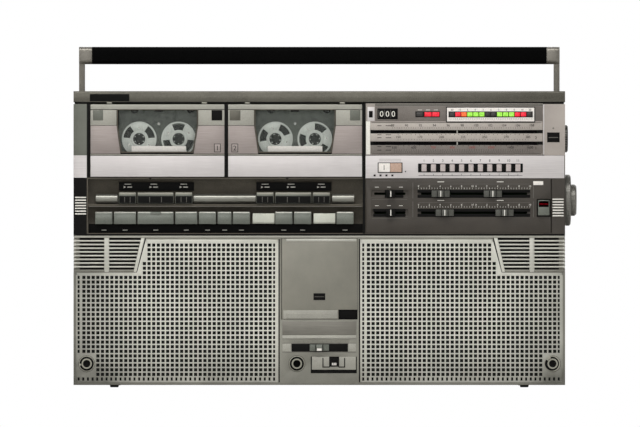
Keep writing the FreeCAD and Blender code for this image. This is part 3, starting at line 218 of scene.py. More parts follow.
# each finish by name: darkest and lightest colour, then the settings of its kind
finishes = {
    paintedPlastic: {
        # the last value of champagneLacquer and of perforatedSheetPaint is how much painted shade darkens
        # them toward the ends and foot
        "champagneLacquer": ("75746a", "97958a", 0.38, 0.35, 0.35),
        "paleChampagneLacquer": ("858377", "a3a194", 0.4, 0.35),
        "perforatedSheetPaint": ("bcbbb0", "dddbd0", 0.42, 0.3, 0.5),
        "hatchLacquer": ("76746a", "928f83", 0.4, 0.3), "doorLacquer": ("8f8d84", "aba99e", 0.38, 0.35),
        "oliveRailLacquer": ("4e4b43", "6c695f", 0.3),
        "greyColumnLacquer": ("54554d", "71736a", 0.36), "keyLacquer": ("5b5e56", "767a71", 0.3, 0.25),
        "armLacquer": ("6a665e", "8a867d", 0.35), "controlPanelLacquer": ("302b25", "433d35", 0.45, 0.2),
        # the dial's painted shade and painted light: a darker and a lighter copy of dialLacquer
        "dialShade": ("5f5953", "7a736c", 0.38, 0.3), "dialLight": ("9b938b", "b9b1a8", 0.36, 0.3),
        "dialLacquer": ("8a827b", "a8a098", 0.36, 0.3), "silverTrim": ("a9a89e", "c9c7bd", 0.32, 0.4),
        "capLacquer": ("3d3d38", "5a5a53", 0.36, 0.2)},
    mouldedPlastic: {
        "darkBayPlastic": ("3e3a31", "5d574c"), "blackPlastic": ("050504", "0e0d0b", 0.5, 0.6, 0.03, 0.12),
        "rearPlastic": ("413f3a", "5b5851", 0.5, 0.9, 0.06, 0.4),
        "paperCone": ("0a0a09", "161513", 0.85, 1.5, 0.1),
        "gripPlastic": ("010101", "040404", 0.65, 0.8, 0.05, 0.04), "laminateBoard": ("1d3517", "2f4d26"),
        "rubberCompound": ("0a0a0a", "191919", 0.8, 0.5, 0.05), "fillerPlastic": ("b4b5a8", "d0d1c4", 0.4),
        "smokedShell": ("3b4038", "5d6359", 0.25, 6, 0.01)},
    brushedMetal: {
        "brushedPlate": ("8a807b", "ada39e", 0.36, 0.6), "labelPlate": ("6d6a62", "8c8980", 0.36, 0.6),
        "silverStrip": ("c3bdbb", "e0dbd9", 0.4, 0.6), "brightBar": ("77766d", "999890", 0.3, 0.8, "x", 0.5),
        "nickelPlate": ("8f8e88", "c4c3bb", 0.2, 1.0, "z", 0.4),
        "reelMetal": ("9b9f98", "c3c7bf", 0.34, 0.4, "z", 0.5),
        "turnedKnob": ("66645e", "8c8a83", 0.34, 0.6, "x", 0.4)},
    printedInk: {
        "whiteInk": ("cfccc2", "efece2"), "blackInk": ("060605", "100f0e", 0.5, 0.12),
        "redInk": ("7c2a24", "96392f"), "greyInk": ("56534d", "6c6962"), "buttonCap": ("a79b98", "c6bbb7"),
        "labelStock": ("d8d2ca", "f2ece5", 0.55), "tanCap": ("a98c7b", "c4a896", 0.45)},
    litLens: {
        "redLens": ("c01024", "ee2038", 0.35), "orangeLens": ("d84a1c", "f47a40", 0.35),
        "greenLens": ("7cc430", "a6e45c", 0.35), "dimLens": ("1f1c19", "35312c", 0.0)},
    clearPlastic: {"windowAcrylic": ("8f958e", 0.07)},
}
for kind, recipes in finishes.items():
    for name, settings in recipes.items():
        kind(name, *settings)
print("materials made", len(materials))


# ---- shapes, all in millimetres
def eased(mesh, width, sharp=30):
    # rounds the edges that turn by more than sharp degrees
    edges = [e for e in mesh.edges if len(e.link_faces) == 2 and e.calc_face_angle(0) > math.radians(sharp)]
    if width > 0 and edges:
        bmesh.ops.bevel(mesh, geom=edges, offset=width, segments=2, profile=0.6, affect="EDGES",
                        clamp_overlap=True)


def paintFaces(faces, names, choose):
    # gives each face the place of its finish in names, which grows as new ones come
    for face in faces:
        name = choose(face)
        if name not in names:
            names.append(name)
        face.material_index = names.index(name)


def bridge(mesh, rings, closed=False):
    # walls between rings of corners, each ring joined to the next
    count = len(rings[0])
    for a, b in zip(rings, rings[1:] + rings[:1] if closed else rings[1:]):
        for i in range(count):
            j = (i + 1) % count
            mesh.faces.new((a[i], a[j], b[j], b[i]))


class Piece:
    # gathers shapes of several finishes into one mesh
    def __init__(self, name):
        self.name = name
        self.mesh = bmesh.new()
        self.finishes = []

    def gather(self, part):
        holder = bpy.data.meshes.new("holder")
        part.to_mesh(holder)
        part.free()
        self.mesh.from_mesh(holder)
        bpy.data.meshes.remove(holder)

    def take(self, part, finish, ease=0.0):
        bmesh.ops.recalc_face_normals(part, faces=part.faces)
        eased(part, ease)
        paintFaces(part.faces, self.finishes, lambda face: finish)
        self.gather(part)

    def block(self, finish, x, y, z, ease=0.25):
        part = bmesh.new()
        place = Matrix.LocRotScale(Vector((sum(x) / 2, sum(y) / 2, sum(z) / 2)), None,
                                   Vector((x[1] - x[0], y[1] - y[0], z[1] - z[0])))
        bmesh.ops.create_cube(part, size=1, matrix=place)
        self.take(part, finish, ease)

    def laid(self, face, rows):
        # blocks on a face: finish, left and right end from the side of the case, how far they stand out of
        # the face and go into it, foot, top, eased edge
        for finish, left, right, out, into, low, high, ease in rows:
            self.block(finish, (across(left), across(right)), (face - out, face + into), (low, high), ease)

    def dashes(self, face, finish, middles, half, out, into, low, high, ease=0):
        # short bars of one finish, each centred on a distance from the side of the case
        self.laid(face, [(finish, x - half, x + half, out, into, low, high, ease) for x in middles])

    def prism(self, finish, outline, y, ease=0.25, axis="y"):
        # an outline in x and z pushed back along y, or in y and z along x, or in x and y along z
        part = bmesh.new()
        turn = {"y": (0, 2, 1), "x": (2, 0, 1), "z": (0, 1, 2)}[axis]
        rings = [[part.verts.new([(a, b, depth)[k] for k in turn]) for a, b in outline] for depth in y]
        part.faces.new(rings[0])
        part.faces.new(rings[1])
        bridge(part, rings)
        self.take(part, finish, ease)

    def profile(self, finish, face, outline, x, ease):
        # a bar along x whose section is given as depths from a face and heights
        self.prism(finish, [(face + deep, z) for deep, z in outline], x, ease, axis="x")

    def turned(self, finish, centre, profile, axis="y", segments=48, ease=0.0):
        # a profile of (radius, distance) pairs turned about an axis through centre
        part = bmesh.new()
        angles = [2 * math.pi * i / segments for i in range(segments)]
        closed = profile[0] == profile[-1]
        rings = []
        for radius, along in profile[:-1] if closed else profile:
            spots = [(radius * math.cos(a), radius * math.sin(a)) for a in angles]
            turn = {"y": lambda u, v: (u, along, v), "x": lambda u, v: (along, u, v)}[axis]
            rings.append([part.verts.new([c + s for c, s in zip(centre, turn(u, v))]) for u, v in spots])
        bridge(part, rings, closed)
        if not closed:
            part.faces.new(rings[0])
            part.faces.new(rings[-1])
        self.take(part, finish, ease)

    def disc(self, finish, x, z, radius, y, ease=0.2, segments=40):
        # a plain cylinder standing along y, its rims broken
        e = min(ease, radius * 0.3, abs(y[1] - y[0]) * 0.4)
        shape = [(radius - e, y[0]), (radius, y[0] + e), (radius, y[1] - e), (radius - e, y[1])]
        self.turned(finish, (x, 0, z), shape, segments=segments)

    def ring(self, finish, x, z, outer, inner, y, segments=48, ease=0.3):
        e = min(ease, (outer - inner) * 0.3, (y[1] - y[0]) * 0.3)
        shape = [(inner, y[0] + e), (inner + e, y[0]), (outer - e, y[0]), (outer, y[0] + e), (outer, y[1]),
                 (inner, y[1]), (inner, y[0] + e)]
        self.turned(finish, (x, 0, z), shape, segments=segments)

    def number(self, finish, text, x, z, height, y):
        # plain numerals centred on x, standing on z
        curve = bpy.data.curves.new("numeral", "FONT")
        curve.body = text
        curve.size = height / 0.69
        curve.align_x = "CENTER"
        curve.extrude = 0.06
        curve.resolution_u = 3
        mesh = evaluated("numeral", curve)
        part = bmesh.new()
        part.from_mesh(mesh)
        part.transform(Matrix.Translation((x, y, z)) @ Matrix.Rotation(math.pi / 2, 4, "X"))
        bpy.data.meshes.remove(mesh)
        self.take(part, finish)

    def numbers(self, finish, marks, first, pitch, z, height, y):
        for place, mark in enumerate(marks):
            self.number(finish, mark, across(first + place * pitch), z, height, y)

    def join(self, mesh):
        # takes in a finished mesh in metres with its own materials
        part = bmesh.new()
        part.from_mesh(mesh)
        part.transform(Matrix.Scale(1 / mm, 4))
        names = [m.name for m in mesh.materials]
        for name in names:
            if name not in self.finishes:
                self.finishes.append(name)
        paintFaces(part.faces, self.finishes, lambda face: names[face.material_index])
        self.gather(part)
        bpy.data.meshes.remove(mesh)

    def placed(self):
        # an object of the gathered shapes, in metres
        mesh = bpy.data.meshes.new(self.name)
        self.mesh.transform(Matrix.Scale(mm, 4))
        self.mesh.to_mesh(mesh)
        self.mesh.free()
        made = bpy.data.objects.new(self.name, mesh)
        scene.collection.objects.link(made)
        return made

    def done(self, slot, *nodes, body=None):
        # rides on the body of the node it stands for, or on the one given
        piece = self.placed()
        for finish in self.finishes:
            piece.data.materials.append(materials[finish])
        piece.data.shade_smooth()
        piece.data.set_sharp_from_angle(angle=math.radians(38))
        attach(piece, body or bodyOf[nodes[0]])
        if nodes:
            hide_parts(*nodes)


def evaluated(name, data, prepare=None):
    # the plain mesh of a curve, or of a mesh after prepare has set modifiers on its object
    worker = bpy.data.objects.new(name, data)
    scene.collection.objects.link(worker)
    if prepare:
        prepare(worker)
    bpy.context.view_layer.update()
    mesh = bpy.data.meshes.new_from_object(worker.evaluated_get(bpy.context.evaluated_depsgraph_get()))
    bpy.data.objects.remove(worker)
    return mesh


def dressed(node, finish, width=0.35, cuts=()):
    # a copy of a CAD node with its tessellation cleaned and its edges rounded. finish is a material name, or
    # a function of face centre and normal that gives one; cuts are planes (axis, position) to split faces at
    mesh = bmesh.new()
    mesh.from_mesh(frame["nodes"][node].data)
    bmesh.ops.remove_doubles(mesh, verts=mesh.verts, dist=2e-6)
    bmesh.ops.dissolve_limit(mesh, angle_limit=math.radians(1), verts=mesh.verts, edges=mesh.edges,
                             delimit={"NORMAL"})
    holder = bpy.data.meshes.new("holder")
    mesh.to_mesh(holder)
    mesh.free()

    def easeEdges(worker):
        bevel = worker.modifiers.new("ease", "BEVEL")
        bevel.width = width * mm
        bevel.segments = 2
        bevel.limit_method = "ANGLE"
        bevel.angle_limit = math.radians(35)
        bevel.use_clamp_overlap = True

    softened = evaluated("worker", holder, easeEdges)
    bpy.data.meshes.remove(holder)
    split = bmesh.new()
    split.from_mesh(softened)
    for axis, value in cuts:
        spot, normal = Vector(), Vector()
        spot["xyz".index(axis)] = value * mm
        normal["xyz".index(axis)] = 1
        bmesh.ops.bisect_plane(split, geom=split.verts[:] + split.edges[:] + split.faces[:], dist=1e-6,
                               plane_co=spot, plane_no=normal)
    names = []
    paintFaces(split.faces, names, lambda face: finish(face.calc_center_median() / mm, face.normal)
               if callable(finish) else finish)
    softened.materials.clear()
    for name in names:
        softened.materials.append(materials[name])
    split.to_mesh(softened)
    split.free()
    piece = Piece(node + "_skin")
    piece.join(softened)
    return piece


def skinned(node, finish, width=0.3):
    # a node shown as its own softened skin alone
    dressed(node, finish, width).done(slotOf[node], node)


# ---- repeats by geometry nodes
def geometryTree(name, sockets):
    tree = bpy.data.node_groups.new(name, "GeometryNodeTree")
    tree.interface.new_socket("Geometry", in_out="OUTPUT", socket_type="NodeSocketGeometry")
    for label, kind in sockets.items():
        tree.interface.new_socket(label, in_out="INPUT", socket_type="NodeSocket" + kind)
    return tree, tree.nodes.new("NodeGroupInput").outputs


def endTree(tree, given, geometry, weld=None):
    # makes the copies real, welds them where a distance is given, and sets their material
    real = addNode(tree, "GeometryNodeRealizeInstances", {"Geometry": geometry})
    if weld:
        real = addNode(tree, "GeometryNodeMergeByDistance", {"Geometry": real, "Distance": weld})
    painted = addNode(tree, "GeometryNodeSetMaterial", {"Geometry": real, "Material": given["Finish"]})
    tree.links.new(painted.outputs[0], tree.nodes.new("NodeGroupOutput").inputs[0])
    return tree


def rowsTree():
    # copies of a template on a flat grid in x and z, each row scaled across by one step more than the last
    tree, given = geometryTree("rowsOfCopies", {
        "Template": "Object", "Columns": "Int", "Rows": "Int", "Pitch across": "Float", "Pitch up": "Float",
        "Corner": "Vector", "Taper": "Float", "Finish": "Material"})
    sides, halves = [], []
    for count, pitch in (("Columns", "Pitch across"), ("Rows", "Pitch up")):
        gaps = addNode(tree, "ShaderNodeMath", {0: given[count], 1: 1.0}, operation="SUBTRACT")
        sides.append(addNode(tree, "ShaderNodeMath", {0: gaps, 1: given[pitch]}, operation="MULTIPLY"))
        halves.append(addNode(tree, "ShaderNodeMath", {0: sides[-1], 1: 0.5}, operation="MULTIPLY"))
    grid = addNode(tree, "GeometryNodeMeshGrid", {
        "Size X": sides[0], "Size Y": sides[1], "Vertices X": given["Columns"], "Vertices Y": given["Rows"]})
    middle = addNode(tree, "ShaderNodeCombineXYZ", {0: halves[0], 2: halves[1]})
    place = addNode(tree, "ShaderNodeVectorMath", {0: given["Corner"], 1: middle}, operation="ADD")
    stood = addNode(tree, "GeometryNodeTransform", {"Geometry": grid, "Translation": place,
                                                    "Rotation": (math.pi / 2, 0, 0)})
    index = addNode(tree, "GeometryNodeInputIndex")
    row = addNode(tree, "ShaderNodeMath", {0: index, 1: given["Rows"]}, operation="MODULO")
    shrink = addNode(tree, "ShaderNodeMath", {0: row, 1: given["Taper"]}, operation="MULTIPLY")
    size = addNode(tree, "ShaderNodeMath", {0: 1.0, 1: shrink}, operation="ADD")
    scale = addNode(tree, "ShaderNodeCombineXYZ", {0: size, 1: 1.0, 2: 1.0})
    template = addNode(tree, "GeometryNodeObjectInfo", {"Object": given["Template"]})
    copies = addNode(tree, "GeometryNodeInstanceOnPoints", {
        "Points": stood, "Instance": template.outputs["Geometry"], "Scale": scale})
    return endTree(tree, given, copies)


def ringTree():
    # copies round a circle that faces along x, each turned outward
    tree, given = geometryTree("copiesRoundX", {
        "Template": "Object", "Count": "Int", "Radius": "Float", "Centre": "Vector", "Finish": "Material"})
    line = addNode(tree, "GeometryNodeMeshLine", {"Count": given["Count"]})
    index = addNode(tree, "GeometryNodeInputIndex")
    share = addNode(tree, "ShaderNodeMath", {0: index, 1: given["Count"]}, operation="DIVIDE")
    angle = addNode(tree, "ShaderNodeMath", {0: share, 1: 2 * math.pi}, operation="MULTIPLY")
    sine = addNode(tree, "ShaderNodeMath", {0: angle}, operation="SINE")
    cosine = addNode(tree, "ShaderNodeMath", {0: angle}, operation="COSINE")
    back = addNode(tree, "ShaderNodeMath", {0: sine, 1: -1.0}, operation="MULTIPLY")
    heading = addNode(tree, "ShaderNodeCombineXYZ", {1: back, 2: cosine})
    reach = addNode(tree, "ShaderNodeVectorMath", {0: heading, "Scale": given["Radius"]}, operation="SCALE")
    spot = addNode(tree, "ShaderNodeVectorMath", {0: reach, 1: given["Centre"]}, operation="ADD")
    points = addNode(tree, "GeometryNodeSetPosition", {"Geometry": line, "Position": spot})
    template = addNode(tree, "GeometryNodeObjectInfo", {"Object": given["Template"]})
    turn = addNode(tree, "ShaderNodeCombineXYZ", {0: angle})
    copies = addNode(tree, "GeometryNodeInstanceOnPoints", {
        "Points": points, "Instance": template.outputs["Geometry"], "Rotation": turn})
    return endTree(tree, given, copies)


def pickedTree():
    # open, blind or plain cells on points, by the kind stored on each, welded into one skin
    labels = ("Open cell", "Blind cell", "Plain cell")
    tree, given = geometryTree("cellsByKind", {
        "Points": "Geometry", **{label: "Object" for label in labels}, "Weld": "Float", "Finish": "Material"})
    kind = addNode(tree, "GeometryNodeInputNamedAttribute", {"Name": "kind"}, data_type="INT")
    joined = addNode(tree, "GeometryNodeJoinGeometry")
    for code, label in enumerate(labels):
        wanted = addNode(tree, "FunctionNodeCompare", {2: kind, 3: code}, data_type="INT", operation="EQUAL")
        template = addNode(tree, "GeometryNodeObjectInfo", {"Object": given[label]})
        copies = addNode(tree, "GeometryNodeInstanceOnPoints", {
            "Points": given["Points"], "Selection": wanted, "Instance": template.outputs["Geometry"]})
        tree.links.new(copies.outputs[0], joined.inputs[0])
    return endTree(tree, given, joined, given["Weld"])


rowsOfCopies, copiesRoundX, cellsByKind = rowsTree(), ringTree(), pickedTree()


def grown(owner, tree, finish, inputs, carrier=None):
    # runs a tree on a carrier mesh and adds the finished plain mesh to owner
    carrier = carrier or bpy.data.meshes.new("carrier")

    def plant(worker):
        modifier = worker.modifiers.new("grow", "NODES")
        modifier.node_group = tree
        sockets = {item.name: item.identifier for item in tree.interface.items_tree if item.in_out == "INPUT"}
        for label, value in {**inputs, "Finish": materials[finish]}.items():
            modifier[sockets[label]] = value

    mesh = evaluated("worker", carrier, plant)
    bpy.data.meshes.remove(carrier)
    mesh.materials.clear()
    mesh.materials.append(materials[finish])
    owner.join(mesh)


def repeated(owner, template, finish, corner, columns, rows, pitchAcross, pitchUp, taper=0.0):
    # adds a grid of template copies to owner, and uses the template up
    made = template.placed()
    grown(owner, rowsOfCopies, finish, {
        "Template": made, "Columns": columns, "Rows": rows, "Pitch across": pitchAcross * mm,
        "Pitch up": pitchUp * mm, "Corner": [c * mm for c in corner], "Taper": taper})
    bpy.data.objects.remove(made)


def ringed(owner, template, finish, centre, count, radius):
    made = template.placed()
    grown(owner, copiesRoundX, finish, {
        "Template": made, "Count": count, "Radius": radius * mm, "Centre": [c * mm for c in centre]})
    bpy.data.objects.remove(made)


def bar(finish, x, y, z, ease):
    # a template of one block
    made = Piece("bar")
    made.block(finish, x, y, z, ease)
    return made


print("helpers ready")

# ---- inner and plain nodes first, each as its own softened skin
plainSkins = {
    "rubber_feet": "rubberCompound", "case_screws": "nickelPlate",
    "circuit_boards": "laminateBoard", "deck_mechanisms": "darkBayPlastic", "handle_arms": "armLacquer",
    "handle_grip": "gripPlastic", "antenna_tube": "nickelPlate", "antenna_rod": "nickelPlate",
}
for node, finish in plainSkins.items():
    skinned(node, finish, 1.1 if node == "handle_grip" else 0.3)
print("plain skins made")


# ---- front cabinet: one shell, finished by zone, with plated and printed strips laid on it
cabinet = {
    "lowerTop": 165.0, "keysTop": 226.2, "stripTop": 250.3, "railFoot": 305.7, "railTrim": 2.2,
    "column": 14.3, "rightColumn": 507, "skin": 0.9,
    "fascia": [(0.6, 307.8), (-0.3, 308.3), (-0.75, 311.0), (-0.75, 314.5), (-0.2, 318.2), (1.2, 319.45),
               (3.0, 319.45), (3.0, 307.8)],
    "catches": (35.9, 138.3, 184.7, 287.1), "stripes": ((1.6, 187.2), (516.4, 185.2)), "stripePitch": 2.96,
    "doorMarks": (82.7, 230.4),
    # painted highlight on the rounded top edge of the lower half, and painted shadow in the key recess above
    # it
    "trim": [("doorLacquer", 0.6, 529.4, 0.5, 0.2, 161.4, 163.6, 0.35),
             ("blackInk", 0.6, 529.4, 0.2, 0.2, 163.7, 165.6, 0.1)],
    "plate": [("blackInk", 17.6, 60.2, 1.0, 0, 308.6, 316.4, 0.2)],
    # silver strip over the controls, dark seam left of them, line right of the dial
    "strips": [("silverStrip", 314.9, 529.2, 0.35, 0.1, 225.6, 250.0, 0.25),
               ("blackPlastic", 311.9, 314.5, 0.35, 0.1, 166.0, 305.4, 0.1),
               ("silverStrip", 506.4, 507.4, 0.4, 0.1, 251.0, 305.2, 0.1)],
    "bandWindow": [("blackInk", 510.6, 524.1, 0.35, 0.1, 264.4, 275.0, 0.3),
                   ("greyInk", 512.2, 522.4, 0.45, 0, 269.2, 269.9, 0.05)],
}


def cabinetFinish(centre, normal):
    x, y, z = centre
    c = cabinet
    front = y < faceY + c["skin"]
    if z > c["railFoot"]:
        isTrim = z < c["railFoot"] + c["railTrim"] and abs(normal.z) < 0.5
        return "blackPlastic" if isTrim else "oliveRailLacquer"
    if abs(normal.x) > 0.7 and (x < caseLeft + 1.5 or x > caseRight - 1.5):
        return "champagneLacquer" if z < c["lowerTop"] else "oliveRailLacquer"
    if z < c["lowerTop"]:
        return "champagneLacquer" if front or normal.z < -0.7 and z < 4 else "blackPlastic"
    if not front:
        return "darkBayPlastic"
    if x > across(c["rightColumn"]):
        return "dialLacquer" if z > c["stripTop"] else "controlPanelLacquer"
    leftColumn = x - caseLeft < c["column"]
    if z < c["keysTop"]:
        return "blackPlastic" if leftColumn else "darkBayPlastic"
    if leftColumn:
        return "silverStrip" if z < c["stripTop"] else "greyColumnLacquer"
    return "blackPlastic"


def makeFrontCabinet():
    c = cabinet
    cuts = [("z", c[name]) for name in ("lowerTop", "keysTop", "stripTop", "railFoot")]
    cuts += [("z", c["railFoot"] + c["railTrim"]), ("x", caseLeft + c["column"]),
             ("x", caseRight - c["column"]), ("x", across(c["rightColumn"])), ("y", faceY + c["skin"])]
    made = dressed("front_cabinet", cabinetFinish, 0.4, cuts)
    skin = (faceY - 0.35, faceY + 0.1)
    # painted highlight and painted shadow along the top of the lower half
    made.laid(faceY, c["trim"])
    # the rail's rounded fascia, the bare plate on it and the light catch notches under it
    made.profile("oliveRailLacquer", faceY, c["fascia"], (caseLeft + 0.05, caseRight - 0.05), 0.3)
    made.laid(faceY, c["plate"])
    for start in c["catches"]:
        made.block("paleChampagneLacquer", (across(start), across(start + 5.4)), skin, (306.0, 307.6), 0.2)
    made.laid(faceY, c["strips"])
    # the band window on the right column
    made.ring("greyInk", across(517.3), 279.5, 0.9, 0.2, skin, 24, 0.05)
    made.laid(faceY, c["bandWindow"])
    # white cooling stripes on both columns
    for start, low in c["stripes"]:
        stripe = bar("whiteInk", (0, 12.0), (-0.2, 0.2), (-0.65, 0.65), 0.12)
        repeated(made, stripe, "whiteInk", (across(start), faceY - 0.2, low), 1, 7, 1, c["stripePitch"])
    # small pointers printed under the doors
    for middle in c["doorMarks"]:
        pointer = [(across(middle + x), z) for x, z in ((-1.8, 226.0), (0, 223.8), (1.8, 226.0))]
        made.prism("blackInk", pointer, (faceY - 0.2, faceY + 0.1), 0)
    return made


def columnTicks(owner, finish, start, end, count, z, height, y, thick=0.45):
    # a printed row of ticks between two distances from the left side
    tick = bar(finish, (-thick / 2, thick / 2), (-0.1, 0.1), (0, height), 0)
    repeated(owner, tick, finish, (across(start), y, z), count, 1, (end - start) / (count - 1), 1)


# the lower middle of the cabinet: label plate, ruled band, the scoop and its grooves
lowerMiddle = {
    "ledge": (225.2, 304.8), "tray": (257.0, 304.4), "ticks": (238, 293, 12, 49.4, 1.2),
    "label": [("labelPlate", 225.2, 304.8, 0.45, 0.2, 56.6, 71.6, 0.35)],
    "bevel": [(-0.45, 56.4), (-0.9, 53.4), (-0.3, 52.2), (0.2, 52.2), (0.2, 56.4)],
    "band": [("greyInk", 225.2, 304.8, 0.15, 0.1, 47.6, 48.05, 0),
             ("greyInk", 225.2, 304.8, 0.15, 0.1, 37.9, 38.35, 0),
             ("doorLacquer", 225.4, 234.9, 0.3, 0.2, 38.6, 47.3, 0.3),
             ("doorLacquer", 296.2, 304.7, 0.3, 0.2, 38.6, 47.3, 0.3),
             ("blackPlastic", 235.3, 295.8, 0.3, 0.2, 38.6, 47.2, 0.4)],
    "scoop": [("blackPlastic", 255.8, 305.4, 0.2, 0.2, 15.4, 33.3, 0.3)],
    "trayShape": [(-0.75, 33.2), (-0.45, 19.2), (0.2, 19.2), (0.2, 33.2)],
    # depths here are both in front of the face
    "grooves": [("blackInk", 268.4, 269.5, 0.9, -0.3, 22.0, 31.8, 0.1),
                ("blackInk", 291.8, 292.9, 0.9, -0.3, 22.0, 31.8, 0.1),
                ("blackInk", 268.4, 276.2, 0.9, -0.3, 21.5, 22.6, 0.1),
                ("blackInk", 285.8, 292.9, 0.9, -0.3, 21.5, 22.6, 0.1),
                ("blackPlastic", 275.6, 286.4, 0.85, 0, 22.4, 33.3, 0.2)],
}


def makeLowerMiddle(owner):
    m = lowerMiddle
    owner.laid(faceY, m["label"])
    owner.profile("doorLacquer", faceY, m["bevel"], [across(x) for x in m["ledge"]], 0.15)
    owner.laid(faceY, m["band"])
    columnTicks(owner, "greyInk", *m["ticks"], faceY - 0.05, 0.3)
    owner.laid(faceY, m["scoop"])
    owner.profile("doorLacquer", faceY, m["trayShape"], [across(x) for x in m["tray"]], 0.3)
    owner.laid(faceY, m["grooves"])


frontShell = makeFrontCabinet()
makeLowerMiddle(frontShell)
frontShell.done("cabinet", "front_cabinet")
print("front cabinet made")


# ---- perforated speaker sheets, their cells chosen by kind
sheet = {"acrossPitch": 5.019, "upPitch": 4.978, "half": 1.75, "lip": 0.15, "thick": 1.15, "top": 153.5,
         "rows": 30, "columns": 43, "firstLowRow": 7, "upperFrom": 81.0, "leftFirst": 6.151,
         "rightFirst": 313.0, "foot": 5.6, "head": 159.9, "slant": (78.1, 68.4), "slantFoot": 124.0,
         "wide": 530, "sunk": 0.5, "margin": 2.5, "marginTop": 123.9, "innerEnds": (220.9, 309.1),
         "cloth": ((6, 219), (311, 524)), "clothHigh": (8, 158), "clothDeep": (1.16, 1.4)}


def cellTemplate(name, kind):
    px, pz = sheet["acrossPitch"] / 2, sheet["upPitch"] / 2
    h, lip, thick = sheet["half"], sheet["lip"], sheet["thick"]
    steps = [(px, pz, 0.0), (h + lip, h + lip, 0.0), (h, h, lip * 0.8), (h, h, thick)]
    made = Piece(name)
    rings = []
    for a, b, deep in steps if kind < 2 else steps[:1]:
        # a blind cell is only half punched
        right = a if kind != 1 or a == px else a - h * 0.75
        rings.append([made.mesh.verts.new((a * u if u < 0 else right, deep, v * b))
                      for u, v in ((-1, -1), (1, -1), (1, 1), (-1, 1))])
    bridge(made.mesh, rings)
    if kind == 2:
        made.mesh.faces.new(rings[-1])
    return made.placed()


def sheetCells(side):
    # the place and kind of each cell: 0 open, 1 blind at the borders, 2 plain round the jack
    s = sheet
    cells = []
    for column in range(s["columns"]):
        x = s[side + "First"] + column * s["acrossPitch"]
        edge = min(x, s["wide"] - x)
        for row in range(s["rows"]):
            z = s["top"] - row * s["upPitch"]
            underLouvres = row < s["firstLowRow"] and edge < s["upperFrom"] - (2.6 if row < 4 else 7.6)
            if underLouvres or math.hypot(edge - 13.8, z - 26.6) < 5:
                continue
            border = row == s["rows"] - 1 or column in (0, s["columns"] - 1)
            cells.append((across(x), z, 2 if edge < 25 and 10 < z < 37 else int(border)))
    return cells


def makeSheets():
    s = sheet
    names = ("openCell", "blindCell", "plainCell")
    templates = {name: cellTemplate(name, kind) for kind, name in enumerate(names)}
    made = Piece("perforated_sheets")
    front = faceY + s["sunk"]
    deep = (front, front + s["thick"])
    px, pz = s["acrossPitch"] / 2, s["upPitch"] / 2
    paint = "perforatedSheetPaint"
    for side in ("left", "right"):
        cells = sheetCells(side)
        carrier = bpy.data.meshes.new("cells")
        carrier.from_pydata([(x * mm, front * mm, z * mm) for x, z, kind in cells], [], [])
        kinds = carrier.attributes.new("kind", "INT", "POINT")
        kinds.data.foreach_set("value", [kind for x, z, kind in cells])
        grown(made, cellsByKind, paint, {
            "Open cell": templates["openCell"], "Blind cell": templates["blindCell"],
            "Plain cell": templates["plainCell"], "Weld": 2e-5}, carrier)
        # margins that carry the holes to the edge of the sheet
        isLeft = side == "left"
        lows, highs = min(c[0] for c in cells) - px, max(c[0] for c in cells) + px
        outer = (caseLeft + s["margin"], lows) if isLeft else (highs, caseRight - s["margin"])
        innerLeft, innerRight = [across(x) for x in s["innerEnds"]]
        inner = (highs, innerLeft) if isLeft else (innerRight, lows)
        made.block(paint, outer, deep, (s["foot"], s["marginTop"]), 0.2)
        made.block(paint, inner, deep, (s["foot"], s["head"]), 0.2)
        made.block(paint, (lows, highs), deep, (s["foot"], min(c[1] for c in cells) - pz), 0.2)
        upper = [c[0] for c in cells if c[1] > 150]
        reach = (min(upper) - px, max(upper) + px)
        made.block(paint, (reach[0] - 1, reach[1] + 1), deep, (s["top"] + pz, s["head"]), 0.2)
        # the slanted step round the louvres
        stepZ = s["top"] - s["firstLowRow"] * s["upPitch"] + pz
        notchZ = s["top"] - 4 * s["upPitch"] + pz
        border, start, notch = (outer[0], reach[0], -2 * px) if isLeft else (outer[1], reach[1], 2 * px)
        slantTop, slantFoot = [across(x if isLeft else s["wide"] - x) for x in s["slant"]]
        made.prism(paint, [(border, stepZ), (start + notch, stepZ), (start + notch, notchZ), (start, notchZ),
                           (start, s["head"]), (slantTop, s["head"]), (slantFoot, s["slantFoot"]),
                           (border, s["slantFoot"])], deep, 0.25)
        # dark cloth behind the holes
        cloth = [across(x) for x in s["cloth"][0 if isLeft else 1]]
        made.block("paperCone", cloth, [front + y for y in s["clothDeep"]], s["clothHigh"], 0)
    for template in templates.values():
        bpy.data.objects.remove(template)
    made.done("grille", "speaker_grilles")


makeSheets()
print("speaker sheets made")


# ---- tweeter louvres: a frame with bright rounded slats
louvre = {
    "low": 124.5, "high": 164.3, "count": 8, "pitch": 4.0, "firstSlat": 5.6,
    "slant": (64.6, 67.9, 77.6, 73.6), "outerSlat": (2.0, 31.2), "innerSlat": (38.2, 27.5), "tooth": 1.3,
    "section": [(0.1, -0.35), (0.5, -0.85), (2.4, -0.95), (2.4, 0.95), (0.5, 0.85), (0.1, 0.35)],
    # frame bars: finish, start, end, depths into the case, foot, top, eased edge
    "frame": [("blackPlastic", 5.5, 66, (2.6, 3.9), 126.5, 163.1, 0.1),
              ("oliveRailLacquer", 0.4, 6.6, (0.6, 4), 124.5, 164.3, 0.4),
              ("silverTrim", 33.1, 38.4, (0.05, 4), 124.5, 164.3, 0.5),
              ("champagneLacquer", 0.2, 76.5, (0.1, 4), 161.7, 164.3, 0.5),
              ("champagneLacquer", 0.2, 68.2, (0.1, 4), 124.5, 127.1, 0.5)],
}


